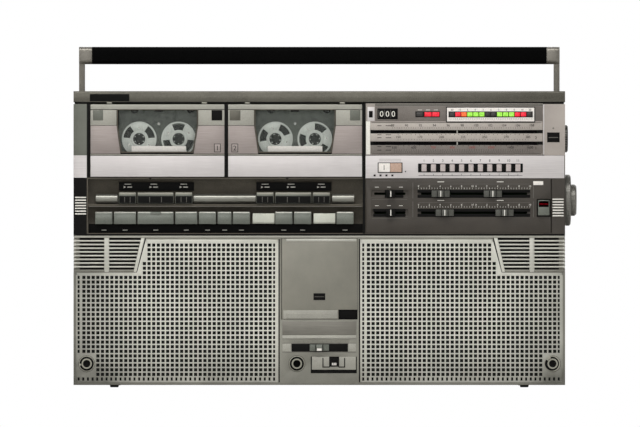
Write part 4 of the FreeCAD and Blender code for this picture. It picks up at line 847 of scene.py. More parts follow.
def makeLouvres():
    made = Piece("louvre_frames")
    s = louvre
    low, high = s["low"], s["high"]
    first = low + s["firstSlat"]
    for side in (1, -1):
        def at(x):
            return caseLeft + x if side == 1 else caseRight - x

        for finish, start, end, into, foot, top, ease in s["frame"]:
            made.block(finish, sorted((at(start), at(end))), [faceY + y for y in into], (foot, top), ease)
        made.prism("perforatedSheetPaint", list(zip([at(x) for x in s["slant"]], (low, low, high, high))),
                   (faceY + 0.05, faceY + 4), 0.5)
        # the inner slats grow longer toward the slant
        for (start, long), taper in ((s["outerSlat"], 0.0), (s["innerSlat"], 0.033)):
            slat = Piece("slat")
            reach = (0, long) if side == 1 else (-long, 0)
            slat.prism("silverTrim", s["section"], reach, 0.15, axis="x")
            repeated(made, slat, "silverTrim", (at(start), faceY, first), 1, s["count"], 1, s["pitch"], taper)
        tooth = bar("silverTrim", (-1.2, 1.2), (-0.25, 1.6), (-1.25, 1.25), 0.4)
        repeated(made, tooth, "silverTrim", (at(s["tooth"]), faceY + 0.3, first), 1, s["count"], 1,
                 s["pitch"])
    made.done("cabinet", "tweeter_louvres")


makeLouvres()
skinned("loudspeakers", "paperCone")


# ---- storage door with its top bevel, latch plate and finger notch
hatch = {
    "bevel": [(-0.1, 157.6), (-0.45, 158.4), (-0.3, 160.3), (0.6, 160.3), (0.6, 157.6)],
    "bevelReach": (229.5, 304.9), "notchReach": (286.2, 305.8),
    "notch": [(2.2, 73.9), (1.0, 83.4), (2.9, 83.4), (2.9, 73.9)],
    # the trim beside the hinge is flush, so that the door can swing
    "plates": [("blackInk", 258.7, 271.4, 0.3, 0.3, 94.2, 101.6, 0.3),
               ("greyInk", 260, 270.2, 0.4, 0, 97.6, 98.1, 0),
               ("doorLacquer", 229.5, 284.8, 0.35, 0.3, 74.2, 83.2, 0.4),
               ("doorLacquer", 226.2, 230.5, 0.04, 0.3, 74.2, 83.2, 0.03),
               ("doorLacquer", 229.5, 284.8, 0.5, 0.3, 78.6, 79.3, 0.15)],
}


def makeStorageDoor():
    made = dressed("storage_door", "hatchLacquer", 0.45)
    front = span("storage_door")[0][1]
    made.profile("silverTrim", front, hatch["bevel"], [across(x) for x in hatch["bevelReach"]], 0.12)
    made.laid(front, hatch["plates"])
    made.profile("blackInk", front, hatch["notch"], [across(x) for x in hatch["notchReach"]], 0.2)
    made.done("cabinet", "storage_door")


makeStorageDoor()

# ---- jack sockets: a bezel in steps round a dark bore
# each ring: finish, outer and inner radius, depths from the seat, segments, eased edge
socket = {
    "places": ((14.2, 0.5), (516.6, 0.5), (240.8, 0)), "high": 25.7,
    "rings": [("blackPlastic", 6.2, 3.3, (-1.0, -0.6), 40, 0.1),
              ("paleChampagneLacquer", 5.6, 4.0, (-1.15, -0.8), 40, 0.12),
              ("paleChampagneLacquer", 8.5, 6.3, (-0.8, 0.3), 48, 0.3),
              ("blackInk", 8.85, 8.5, (-0.15, 0.2), 48, 0.05)],
}


def makeSockets():
    def socketFinish(centre, normal):
        reach = min(math.hypot(centre.x - across(x), centre.z - socket["high"])
                    for x, sunk in socket["places"])
        return "blackPlastic" if reach < 5.2 or centre.y > faceY + 2 else "paleChampagneLacquer"

    made = dressed("jack_sockets", socketFinish, 0.25)
    for x, sunk in socket["places"]:
        seat = faceY + sunk
        made.disc("blackInk", across(x), socket["high"], 3.25, (seat + 6.0, seat + 6.3), 0.02, 32)
        for finish, outer, inner, deep, count, ease in socket["rings"]:
            made.ring(finish, across(x), socket["high"], outer, inner, [seat + d for d in deep], count, ease)
    made.done("plated", "jack_sockets")


makeSockets()
print("lower half made")


# ---- tuner: recessed dial, scale rows, meter, lamps, counter
dial = {
    "ground": [("whiteInk", 315.4, 319.9, 0.22, 0.15, 251.2, 287.0, 0.1),
               ("greyInk", 325, 505.8, 0.14, 0.1, 303.4, 306.0, 0.1),
               # painted shade on the dial's top band and lowest row, painted light on its two middle rows
               ("dialShade", 325.2, 505.6, 0.1, 0.1, 287.2, 303.2, 0.05),
               ("dialLight", 320.4, 505.6, 0.1, 0.1, 277.6, 285.2, 0.05),
               ("dialLight", 320.4, 505.6, 0.1, 0.1, 266.0, 273.8, 0.05),
               ("dialShade", 320.4, 505.6, 0.1, 0.1, 252.0, 261.2, 0.05)],
    # counter reset key, then the frame and the floor of the three-digit counter
    "counter": [("silverStrip", 316.9, 324.5, 0.5, 0.15, 287.3, 302.4, 0.4),
                ("blackInk", 318.5, 322.6, 0.9, 0, 291.1, 298.2, 0.3),
                ("blackPlastic", 327.6, 349.6, 0.5, 0.15, 289.3, 300.9, 0.5),
                ("blackInk", 329, 348.2, 0.62, 0, 290.6, 299.6, 0.2)],
    # stereo and battery lamps
    "lampFrame": [("blackPlastic", 368.6, 395, 0.5, 0.15, 291.4, 297.7, 0.3)],
    "lamps": {369.6: "dimLens", 378.4: "redLens", 386.8: "redLens"}, "lampWide": 7.6,
    "lampMarks": (373.4, 382.2, 390.6),
    # level meter: framed row of lit blocks with marks over it
    "meterFrame": [("blackPlastic", 401.6, 497.8, 0.35, 0.1, 285.9, 302.6, 0.4),
                   ("labelStock", 402.6, 496.8, 0.5, 0.15, 286.8, 301.7, 0.3),
                   ("blackPlastic", 404.2, 495.2, 0.7, 0, 291.2, 297.7, 0.3)],
    "meter": "dim red orange green green green dim dim green green green red red dim",
    "meterFirst": 405.2, "meterPitch": 6.42, "meterWide": 5.7,
    "levels": ("20", "10", "5", "0", "3", "5", "3", "0", "5", "10", "20"),
    # scale rows: height, numbers, first and last place, count of ticks
    "rows": [
        (281.4, ("88", "90", "92", "94", "96", "98", "100", "102", "104", "106", "108"), 344, 494, 61),
        (268.9, ("150", "170", "200", "225", "250", "270", "285"), 350, 490, 49),
        (257.6, ("530", "600", "700", "800", "1000", "1200", "1400", "1600"), 346, 492, 57),
    ],
    "slots": (261.4, 273.9), "slotEnds": ((320.2, 324), (500.4, 505.8)), "rules": (285.3, 251.6),
    "dashRows": (282.0, 272.2, 269.0, 259.4, 255.6), "dashes": ((327.5, 332.0), (336.5, 342.5)),
    "extraTicks": ((272.2, 31), (260.1, 25)),
}


def makeDial():
    def dialFinish(centre, normal):
        inside = centre.y > faceY + 0.6
        return "blackPlastic" if inside and 255 < centre.z < 284 and abs(normal.y) < 0.6 else "dialLacquer"

    d = dial
    made = dressed("dial_scale", dialFinish, 0.3)
    made.laid(faceY, d["ground"] + d["counter"])
    for place in range(3):
        made.number("whiteInk", "0", across(332.2 + place * 6.3), 292.0, 6.0, faceY - 0.66)
        seam = place * 6.45
        made.laid(faceY, [("greyInk", 328.9 + seam, 329.2 + seam, 0.7, 0, 290.8, 299.4, 0)])
    made.laid(faceY, d["lampFrame"])
    made.laid(faceY, [(lens, start, start + d["lampWide"], 0.95, 0, 292.2, 296.9, 0.35)
                      for start, lens in d["lamps"].items()])
    made.dashes(faceY, "whiteInk", d["lampMarks"], 2.2, 0.22, 0.15, 299.0, 299.5)
    made.laid(faceY, d["meterFrame"])
    for place, colour in enumerate(d["meter"].split()):
        start = d["meterFirst"] + place * d["meterPitch"]
        made.laid(faceY, [(colour + "Lens", start, start + d["meterWide"], 1.1, 0, 292.2, 296.8, 0.3)])
    columnTicks(made, "blackInk", 406, 494, 45, 289.0, 1.2, faceY - 0.55, 0.3)
    made.numbers("blackInk", d["levels"], 408, 8.4, 298.5, 2.0, faceY - 0.55)
    for z, marks, start, end, ticks in d["rows"]:
        for place, mark in enumerate(marks):
            middle = start + (end - start) * place / (len(marks) - 1)
            ink = "redInk" if z < 260 and 2 <= place <= 5 else "blackInk"
            made.number(ink, mark, across(middle), z, 2.5, faceY - 0.2)
        columnTicks(made, "blackInk", start, end, ticks, z - 2.2, 1.3, faceY - 0.15, 0.28)
    # dark ends of the two slots, then fine ticks, rules and dashes
    made.laid(faceY, [("blackPlastic", start, end, 0.12, 0.1, z + 0.2, z + 3.8, 0)
                      for z in d["slots"] for start, end in d["slotEnds"]])
    columnTicks(made, "blackInk", 346, 492, 74, 253.4, 1.1, faceY - 0.15, 0.28)
    made.laid(faceY, [("blackInk", 322, 504, 0.22, 0.15, z, z + 0.35, 0) for z in d["rules"]])
    made.laid(faceY, [("blackInk", start, end, 0.2, 0, z, z + 0.6, 0)
                      for z in d["dashRows"] for start, end in d["dashes"]])
    for z, count in d["extraTicks"]:
        columnTicks(made, "blackInk", 350, 490, count, z, 1.0, faceY - 0.15, 0.5)
    made.number("blackInk", "2", across(498.5), 267.8, 3.0, faceY - 0.2)
    made.number("blackInk", "1", across(498.5), 256.8, 3.0, faceY - 0.2)
    # dark strip behind the two slots
    low, high = span("dial_scale")
    made.block("blackPlastic", (low[0] + 6, high[0] - 6), (faceY + 9, faceY + 9.6), (259, 282), 0)
    made.done("dial", "dial_scale")


def makePointer():
    made = dressed("dial_pointer", "greyInk", 0.15)
    low, high = span("dial_pointer")
    middle = (low[0] + high[0]) / 2
    deep = (low[1] - 0.1, low[1] + 0.5)
    for z in (260.4, 272.8):
        made.block("whiteInk", (middle - 0.6, middle + 0.6), deep, (z + 1.4, z + 4.4), 0.1)
    made.done("pointer", "dial_pointer")


makeDial()
makePointer()


# ---- programme buttons and the tape selector on the silver strip
programme = {
    "count": 11, "pitch": 10.12, "first": 377.9, "middle": 236.7,
    "well": [("blackPlastic", 371.4, 484.5, 0.5, 0.3, 231.9, 241.5, 0.4)],
    "rule": [("blackInk", 372, 484, 0.12, 0.1, 228.3, 228.7, 0)], "lights": (324.6, 4, 6.4, 228.6),
    # selector cap: half pale, half tan, in a dark surround
    "selector": [("blackPlastic", 327.9, 354.7, 0.4, 0.3, 231.4, 242.6, 0.4),
                 ("labelStock", 328.9, 341.2, 1.8, 0, 232.3, 241.8, 0.5),
                 ("tanCap", 341.4, 353.7, 1.8, 0, 232.3, 241.8, 0.5),
                 ("blackInk", 334.5, 335.1, 1.95, -1.7, 234.5, 239.6, 0)],
}


def makeStrip():
    made = Piece("programme_buttons")
    p = programme
    front = faceY - 0.35
    made.laid(front, p["well"])
    button = bar("buttonCap", (-2.7, 2.7), (-1.9, 0.2), (-3.7, 3.7), 0.45)
    button.block("blackInk", (-2.6, 2.6), (-1.0, 0.1), (3.7, 4.0), 0)
    repeated(made, button, "buttonCap", (across(p["first"]), front - 0.4, p["middle"]), p["count"], 1,
             p["pitch"], 1)
    places = range(p["count"])
    made.numbers("blackInk", [str(place + 1) for place in places], p["first"], p["pitch"], 243.4, 2.6,
                 front - 0.06)
    made.laid(front, p["rule"])
    made.dashes(front, "blackInk", [p["first"] + place * p["pitch"] for place in places], 0.2, 0.12, 0.1,
                228.7, 230.4)
    made.laid(front, p["selector"])
    made.disc("blackInk", across(357.9), 232.8, 0.7, (front - 0.15, front + 0.1), 0.02, 16)
    first, count, pitch, z = p["lights"]
    light = bar("blackInk", (-1.1, 1.1), (-0.1, 0.1), (-1.0, 1.0), 0)
    repeated(made, light, "blackInk", (across(first), front - 0.02, z), count, 1, pitch, 1)
    made.laid(front, [("greyInk", 329.5, 353, 0.12, 0.1, z, z + 0.3, 0) for z in (244.2, 246.0)])
    made.done("key", body="case")


makeStrip()


# ---- control panel with its scales, and the sliders on it
panel = {
    "scales": (213.9, 193.9), "starts": (372, 434), "marks": ("0", "2", "4", "6", "8", "10"), "pitch": 11.6,
    "switchRules": (222.6, 202.6, 182.2), "sliderRules": (219.2, 199.2), "switchMarks": (327, 340, 353),
    "wells": ((208.9, ((335.6, 355.6), (370.9, 492.4))), (188.4, ((323.2, 357.8), (370.9, 492.4)))),
    "names": (396, 460), "namesFoot": (221.4, 201.4),
    "dividers": (365.6, 495.6), "dividersFoot": (204.0, 183.6),
    # seam, bare plate, and the surround of the power button in four bars
    "plates": [("blackInk", 514.6, 515.2, 0.2, 0.1, 167, 224.6, 0.05),
               ("labelStock", 495.7, 506.4, 0.3, 0.1, 218.3, 222.4, 0.25),
               ("blackPlastic", 499.5, 500.4, 0.25, 0.1, 184.1, 203.3, 0.1),
               ("blackPlastic", 513.4, 514.3, 0.25, 0.1, 184.1, 203.3, 0.1),
               ("blackPlastic", 499.5, 514.3, 0.25, 0.1, 184.1, 184.9, 0.1),
               ("blackPlastic", 499.5, 514.3, 0.25, 0.1, 202.5, 203.3, 0.1)],
}


def makeControlPanel():
    made = dressed("control_panel", "controlPanelLacquer", 0.3)
    p = panel
    skin = faceY - 0.12
    for z in p["scales"]:
        for start in p["starts"]:
            columnTicks(made, "whiteInk", start, start + 58, 21, z, 1.6, skin, 0.3)
        for start in p["starts"]:
            made.numbers("whiteInk", p["marks"], start, p["pitch"], z + 2.2, 1.9, skin)
    made.laid(skin, [("greyInk", 322, 360, 0.05, 0.2, z, z + 0.3, 0) for z in p["switchRules"]])
    for z in p["sliderRules"]:
        made.laid(skin, [("greyInk", 372, 492, 0.05, 0.2, z, z + 0.3, 0)])
        made.dashes(skin, "whiteInk", p["switchMarks"], 2, 0.05, 0.2, z - 3.4, z - 2.9)
    # dark wells above and below the slots
    made.laid(skin, [("blackInk", start, end, 0.1, 0.2, low, high, 0.1)
                     for middle, reaches in p["wells"] for start, end in reaches
                     for low, high in ((middle - 4.4, middle - 1.2), (middle + 1.2, middle + 4.2))])
    for z in p["namesFoot"]:
        made.dashes(skin, "whiteInk", p["names"], 3.6, 0.05, 0.2, z, z + 0.7)
    made.laid(skin, [("greyInk", x, x + 0.5, 0.05, 0.2, z, z + 17, 0)
                     for z in p["dividersFoot"] for x in p["dividers"]])
    made.laid(faceY, p["plates"])
    made.done("dark_panel", "control_panel")


# a wide cap seen from above: its corners as shares of half its width, and how far they rise from its base
slider = {
    "wide": ("volume_slider", "treble_slider", "bass_slider", "balance_slider", "mic_mixing_slider"),
    "narrow": ("meter_switch", "function_switch", "mic_level_slider"), "flank": 2.0,
    "shoulder": (0.45, 2.7), "ridge": 0.34, "dark": 0.4, "ribPitch": 1.8, "stem": (1.6, 0.7),
}


def makeSlider(node, isWide):
    # a moulded cap: raised ridge with a white line, sloping flanks and a stem through the slot
    (x0, front, z0), (x1, back, z1) = span(node)
    s = slider
    made = Piece(node + "_cap")
    middle, half, midZ = (x0 + x1) / 2, (x1 - x0) / 2, (z0 + z1) / 2
    base = faceY - 0.4
    dark = "blackPlastic"
    isMic = node.startswith("mic")
    if isWide:
        share, rise = s["shoulder"]
        shoulder, ridge, top = half * share, half * s["ridge"], faceY - front - 0.5
        flank = [(x0, 0.0), (x0, s["flank"]), (middle - shoulder, rise), (middle - ridge, top),
                 (middle + ridge, top), (middle + shoulder, rise), (x1, s["flank"]), (x1, 0.0)]
        section = [(x, base - up) for x, up in flank]
        made.prism("keyLacquer" if isMic else "capLacquer", section, (z0, z1), 0.35, "z")
        made.block(dark, (middle - half * s["dark"], middle + half * s["dark"]), (front + 0.12, base - 2.0),
                   (z0 + 0.1, z1 - 0.1), 0.4)
    else:
        made.block(dark, (x0, x1), (front + 0.12, base), (z0, z1), 0.5)
        rib = bar(dark, (-0.35, 0.35), (-0.25, 0.4), (-(z1 - z0) / 2 + 0.6, (z1 - z0) / 2 - 0.6), 0.12)
        count = max(2, int((x1 - x0) / 2.2))
        repeated(made, rib, dark, (middle - (count - 1) * s["ribPitch"] / 2, front + 0.2, midZ), count, 1,
                 s["ribPitch"], 1)
    if isMic:
        made.block("labelStock", (middle - 2.6, middle + 2.6), (front, front + 1.2), (z0 + 0.1, z0 + 2.7))
    else:
        made.block("whiteInk", (middle - 0.5, middle + 0.5), (front, front + 0.3), (z0 + 0.4, z1 - 0.4), 0)
    wide, high = s["stem"]
    made.block(dark, (middle - wide, middle + wide), (base, back), (midZ - high, midZ + high), 0.1)
    made.done("slider_cap", node)


makeControlPanel()
for node in slider["wide"] + slider["narrow"]:
    makeSlider(node, node in slider["wide"])


def makePowerButton():
    low, high = span("power_button")
    made = dressed("power_button", "keyLacquer", 0.5)
    x = (low[0] + 0.5, high[0] - 0.5)
    # its dark half stays below the flange's edge
    made.block("blackPlastic", x, (low[1], low[1] + 0.8), (194.4, high[2] - 1.7), 0.2)
    made.block("redLens", (x[0] + 0.4, x[1] - 0.4), (low[1], low[1] + 0.6), (196.9, 198.7), 0.1)
    made.done("slider_cap", "power_button")


makePowerButton()
print("tuner and controls made")


# ---- cassette doors: brushed lower plates, square marks, window frame and clear window
# a window's corners: top left, top right, low left, low right
doorPlan = {
    "left": {"start": 18.3, "end": 162.7, "window": (47.4, 133.5, 51.5, 128.6), "digit": ("1", 155.1),
             "squares": ((21, 32, "greyColumnLacquer"), (148.8, 160.4, "blackInk"))},
    "right": {"start": 166.7, "end": 311.1, "window": (195.6, 281.9, 199.9, 277.6), "digit": ("2", 173.9),
              "squares": ((168.3, 180, "oliveRailLacquer"), (298.1, 309.2, "greyColumnLacquer"))},
}
doorSizes = {"plate": (252.0, 282.2), "plateGap": 0.9, "window": (253.8, 282.5, 299.6), "frame": (0.7, -0.5),
             "square": (287.9, 299.0), "pane": 1.2}


def trapezoid(plan, grow=0.0):
    # the window's outline, grown outwards
    topLeft, topRight, lowLeft, lowRight = plan["window"]
    foot, bend, top = doorSizes["window"]
    corners = [(lowLeft - grow, foot - grow), (lowRight + grow, foot - grow), (topRight + grow, bend),
               (topRight + grow, top + grow), (topLeft - grow, top + grow), (topLeft - grow, bend)]
    return [(across(x), z) for x, z in corners]


def makeDoor(side):
    plan = doorPlan[side]
    node, window = side + "_deck_door", side + "_door_window"
    made = dressed(node, "blackPlastic", 0.35)
    start, end = plan["start"], plan["end"]
    topLeft, topRight, lowLeft, lowRight = plan["window"]
    # silver strip along the bottom, with its fine upper lip
    made.laid(faceY, [("silverStrip", start, end, 0.55, 0.2, 227.2, 249.8, 0.4),
                      ("paleChampagneLacquer", start, end, 0.4, 0.2, 250.4, 251.4, 0.2)])
    # brushed plates either side of the window, slanting in with it
    (foot, top), gap = doorSizes["plate"], doorSizes["plateGap"]
    for corners in (((start, foot), (lowLeft - gap, foot), (topLeft - gap, top), (start, top)),
                    ((lowRight + gap, foot), (end, foot), (end, top), (topRight + gap, top))):
        made.prism("brushedPlate", [(across(x), z) for x, z in corners], (faceY - 0.5, faceY + 0.2), 0.35)
    # quieter plates above them, the light band along the top, the square marks and the deck's number
    digit, middle = plan["digit"]
    made.laid(faceY, [("doorLacquer", start, topLeft - 1.0, 0.35, 0.2, 282.6, 299.2, 0.3),
                      ("doorLacquer", topRight + 1.0, end, 0.35, 0.2, 282.6, 299.2, 0.3),
                      ("doorLacquer", start, end, 0.6, 0.2, 299.8, 305.2, 0.45)])
    made.laid(faceY, [(finish, left, right, 0.6, 0, *doorSizes["square"], 0.45)
                      for left, right, finish in plan["squares"]])
    made.dashes(faceY, "blackInk", [middle], 3.6, 0.62, 0, 253.6, 262.9, 0.25)
    made.dashes(faceY, "brushedPlate", [middle], 3.0, 0.7, 0, 254.2, 262.3, 0.2)
    made.number("blackInk", digit, across(middle), 255.6, 5.2, faceY - 0.76)
    # thin frame round the window
    outer, inner = [trapezoid(plan, grow) for grow in doorSizes["frame"]]
    for a, b, c, d in zip(outer, outer[1:] + outer[:1], inner[1:] + inner[:1], inner):
        made.prism("darkBayPlastic", [a, b, c, d], (faceY - 0.45, faceY + 0.3), 0.12)
    made.done("door", node)

    pane = Piece(side + "_window_pane")
    front = span(window)[0][1]
    pane.prism("windowAcrylic", trapezoid(plan, -0.1), (front, front + doorSizes["pane"]), 0.25)
    pane.done("window", window)


def arc(x, z, radius, start, end, steps=12, squash=1.0):
    # points round x and z from one angle to another, in degrees
    angles = [math.radians(start + (end - start) * i / steps) for i in range(steps + 1)]
    return [(x + radius * math.cos(a), z + radius * squash * math.sin(a)) for a in angles]


# ---- cassettes: an open frame of smoked plastic with labels, tabs, screws and tape packs
tape = {
    "hubZ": 268.0, "hubOff": 21.25, "side": 2.2, "head": 3.2, "foot": 2.4, "guard": (17, 21, 14.5),
    "label": (29.4, 254.3, 260.3), "tabs": (-5.0, 13.0), "tabTop": 300.9, "screwIn": 4.6, "screwUp": 6,
    "middleScrew": 284.5, "packs": {"left": (17.0, 15.5), "right": (16.5, 16.0)}, "roller": 43.5,
}


def makeCassette(side):
    t = tape
    node = side + "_cassette"
    (x0, front, z0), (x1, rear, z1) = span(node)
    made = Piece(side + "_tape_shell")
    mid = (x0 + x1) / 2
    hubs = (mid - t["hubOff"], mid + t["hubOff"])
    shell = "smokedShell"
    for x, z in (((x0, x0 + t["side"]), (z0, z1)), ((x1 - t["side"], x1), (z0, z1)),
                 ((x0, x1), (z1 - t["head"], z1)), ((x0, x1), (z0, z0 + t["foot"]))):
        made.block(shell, x, (front, rear), z, 0.5)
    made.block(shell, (x0 + 1.5, x1 - 1.5), (rear - 1.4, rear - 0.1), (z0 + 1.5, z1 - 1.5), 0)
    foot, head, rise = t["guard"]
    made.prism(shell, [(x0 + foot, z0), (x1 - foot, z0), (x1 - head, z0 + rise), (x0 + head, z0 + rise)],
               (front, rear - 1.0), 0.5)
    # white label strip under the reels
    half, low, high = t["label"]
    made.block("labelStock", (mid - half, mid + half), (front, front + 0.35), (low, high), 0.15)
    # dark tabs along the top edge and the corner screws
    for hub, off in zip(hubs, t["tabs"]):
        tab = arc(hub + off, t["tabTop"], 4.6, 0, -180, squash=5.4 / 4.6)
        made.prism("blackInk", tab, (front, front + 0.5), 0.1)
    made.block("blackInk", (mid - 4.7, mid + 4.7), (front, front + 0.5), (297.2, t["tabTop"]), 0.2)
    left, right, up, down = x0 + t["screwIn"], x1 - t["screwIn"], z1 - t["screwUp"], z0 + t["screwUp"]
    for x, z in ((left, up), (right, up), (left, down), (right, down), (mid, t["middleScrew"])):
        made.disc("nickelPlate", x, z, 1.5, (front + 0.35, front + 1.2), 0.3, 24)
        made.block("blackInk", (x - 1.0, x + 1.0), (front + 0.3, front + 0.5), (z - 0.18, z + 0.18), 0)
    # wound tape behind each reel, fuller on one side, and a guide roller in each lower corner
    for hub, pack in zip(hubs, t["packs"][side]):
        made.ring("blackPlastic", hub, t["hubZ"], pack, 6.0, (rear - 3.0, rear - 2.2), 64, 0.1)
        made.disc("blackInk", hub, t["hubZ"], 6.2, (rear - 1.6, rear - 1.45), 0.02, 40)
    roller = [(1.2, rear - 6), (2.9, rear - 6), (2.9, rear - 2), (1.2, rear - 2)]
    for x in (mid - t["roller"], mid + t["roller"]):
        made.turned("labelStock", (x, 0, z0 + 7), roller, segments=28)
    made.done("tape_shell", node)


# ---- reels: a light metal disc with three rounded windows, a hub ring and six teeth
reel = {"outer": 18.8, "windowOut": 17.5, "windowIn": 9.2, "hub": 8.7, "bore": 5.6, "halfAngle": 25,
        "thick": 0.9, "screws": 12.6, "teeth": 4.7,
        "tooth": ((-0.2, -0.45), (1.3, -0.65), (1.3, 0.65), (-0.2, 0.45)),
        "turns": {"left_tape_left_reel": 30, "left_tape_right_reel": 90, "right_tape_left_reel": 45,
                  "right_tape_right_reel": 65}}


def makeReel(node, turn):
    r = reel
    low, high = span(node)
    x, z, front = (low[0] + high[0]) / 2, (low[2] + high[2]) / 2, low[1] + 0.5
    made = Piece(node + "_disc")
    disc = (front, front + r["thick"])
    made.ring("reelMetal", x, z, r["outer"], r["windowOut"] - 0.6, disc, 72, 0.25)
    made.ring("reelMetal", x, z, r["windowIn"] + 0.6, r["bore"] + 2.2, disc, 60, 0.25)
    for third in range(3):
        middle = turn + 60 + 120 * third
        start, end = middle - 60 + r["halfAngle"], middle + 60 - r["halfAngle"]
        made.prism("reelMetal", arc(x, z, r["windowOut"], start, end) + arc(x, z, r["windowIn"], end, start),
                   (disc[0] + 0.02, disc[1] - 0.02), 0.15)
        # a flush screw on each spoke
        a = math.radians(middle)
        made.disc("nickelPlate", x + r["screws"] * math.cos(a), z + r["screws"] * math.sin(a), 1.0,
                  (front - 0.15, front + 0.3), 0.15, 20)
    # raised hub with a dark ring and six drive teeth
    made.ring("reelMetal", x, z, r["hub"], r["bore"], (front - 0.35, front + 3.2), 60, 0.3)
    made.ring("blackInk", x, z, r["bore"] + 0.9, r["bore"], (front - 0.42, front + 0.3), 60, 0.05)
    for tooth in range(6):
        a = math.radians(turn + 60 * tooth)
        c, s = math.cos(a), math.sin(a)
        rootX, rootZ = x + r["teeth"] * c, z + r["teeth"] * s
        made.prism("reelMetal", [(rootX + c * u - s * v, rootZ + s * u + c * v) for u, v in r["tooth"]],
                   (front - 0.1, front + 3.0), 0.12)
    made.done("reel", node)


for side in doorPlan:
    makeDoor(side)
for side in doorPlan:
    makeCassette(side)
for node, turn in reel["turns"].items():
    makeReel(node, turn)
for side in doorPlan:
    for end in ("left", "right"):
        skinned(f"{side}_deck_{end}_spindle", "blackPlastic", 0.2)
print("decks made")


# ---- keys: grey lacquered caps, their light top ledge a painted highlight. Sections are given as depth and drop from the top
key = {
    "ledge": [(0.1, 3.6), (0, 0.6), (1.2, 0.05), (2.5, 0.3), (2.5, 3.6)], "ribs": 2,
    "lip": [(0.02, 3.4), (1.5, 0.15), (3.0, 0.15), (3.0, 3.4)], "thumbHalf": 5.6,
}


def makeKey(node, upper):
    low, high = span(node)
    made = dressed(node, "greyColumnLacquer" if upper else "keyLacquer", 0.6)
    x = (low[0] + 0.5, high[0] - 0.5)
    front, foot, top = low[1], low[2], high[2]
    crown = [(deep, top - drop) for deep, drop in key["ledge" if upper else "lip"]]
    if upper:
        # painted highlight: the pale top ledge of an upper key
        made.profile("paleChampagneLacquer", front, crown, x, 0.3)
        made.block("blackPlastic", x, (front - 0.12, front + 1.0), (foot + 0.4, top - 4.0), 0.3)
        rib = bar("greyInk", (-0.25, 0.25), (-0.15, 0.5), (-3.0, 3.0), 0.1)
        step = (x[1] - x[0]) / (key["ribs"] + 1)
        repeated(made, rib, "greyInk", (x[0] + step, front - 0.1, foot + 4.2), key["ribs"], 1, step, 1)
    else:
        # painted highlight: the light lip along the top of a lower key
        made.profile("perforatedSheetPaint", front, crown, x, 0.25)
        made.profile("keyLacquer", front, [
            (0.4, foot + 0.8), (-0.2, foot + 2.0), (-0.55, top - 7.5), (-0.3, top - 4.4), (0.6, top - 3.5),
            (3, top - 3.5), (3, foot + 0.8)], x, 0.4)
        if node.startswith("left_play"):
            middle = (low[0] + high[0]) / 2
            made.block("keyLacquer", (middle - key["thumbHalf"], middle + key["thumbHalf"]),
                       (front - 0.3, front + 2.6), (top - 3.6, top - 0.2), 0.5)
    made.done("key", node)


keys = [node for node in frame["nodes"] if node.endswith("_key")]
lowerKeys = [node for node in keys if "search" not in node]
for node in keys:
    makeKey(node, node not in lowerKeys)


# ---- key bay: label patches, bright bars and pale fillers round the keys
keyBay = {
    "labels": ((48.8, 129.7), (197, 278.1)), "bars": ((23.9, 47.2), (129.5, 196.3), (279, 302.5)),
    "arrow": ((-4.4, 215.0), (-2.0, 216.1), (-4.4, 217.2)), "barCentre": (7.5, 203.6),
    "barRound": (5.2, 5.0), "barBack": 12, "fillers": ((193.1, 216.6), (258.8, 282.2)),
    "filler": [(4, 176.6), (2.6, 178), (2.0, 183.5), (2.6, 187), (4, 187.8), (12, 187.8), (12, 176.6)],
    "ledge": [("greyInk", 16.5, 311.5, -0.8, 3.0, 194.9, 195.5, 0.1)],
    # painted shadow: a black band on the bay's wall under the lower keys, where their recess lies in shade
    "strip": [("blackInk", 16.2, 311.8, -13.3, 13.9, 165.8, 176.4, 0)],
}


def makeKeyBay():
    made = Piece("key_bay_trim")
    b = keyBay
    wall = span("left_stop_key")[0][1] + 6
    for start, end in b["labels"]:
        made.laid(wall, [("blackInk", start, end, -4.6, 5.2, 212.2, 221.3, 0.15)])
        for middle in (start + 9.5, (start + end) / 2 - 3, end - 11):
            made.laid(wall, [("whiteInk", middle - 3.6, middle + 3.6, -4.4, 4.8, 219.0, 219.6, 0),
                             ("whiteInk", middle - 0.5, middle + 4.6, -4.4, 4.8, 215.6, 216.6, 0)])
            arrow = [(across(middle + x), z) for x, z in b["arrow"]]
            made.prism("whiteInk", arrow, (wall + 4.4, wall + 4.8), 0)
    deep, high = b["barCentre"]
    reach, half = b["barRound"]
    # half an ellipse from foot to top, closed by the flat back
    turns = [math.pi * i / 12 for i in range(13)]
    curve = [(deep - reach * math.sin(a), high - half * math.cos(a)) for a in turns]
    for start, end in b["bars"]:
        made.profile("brightBar", faceY, curve + [(b["barBack"], high + half), (b["barBack"], high - half)],
                     (across(start), across(end)), 0.15)
    for start, end in b["fillers"]:
        made.profile("fillerPlastic", faceY, b["filler"], (across(start), across(end)), 0.4)
    # the grey line, and the band of painted shadow under the lower keys
    made.laid(faceY, b["ledge"] + b["strip"])
    for node in lowerKeys:
        low, high = span(node)
        middle = (low[0] + high[0]) / 2
        made.block("whiteInk", (middle - 2.6, middle + 2.6), (faceY + 13.1, faceY + 13.5), (169.3, 170.1), 0)
    made.done("cabinet", body="case")


makeKeyBay()
print("keys made")


# ---- knobs on the right side, knurled with copies round a circle
knob = {"waist": 16.7, "step": 6.6, "foot": 0.5, "waistRibs": 60,
        "ribs": {"tuning_knob": 72, "band_wheel": 48}}


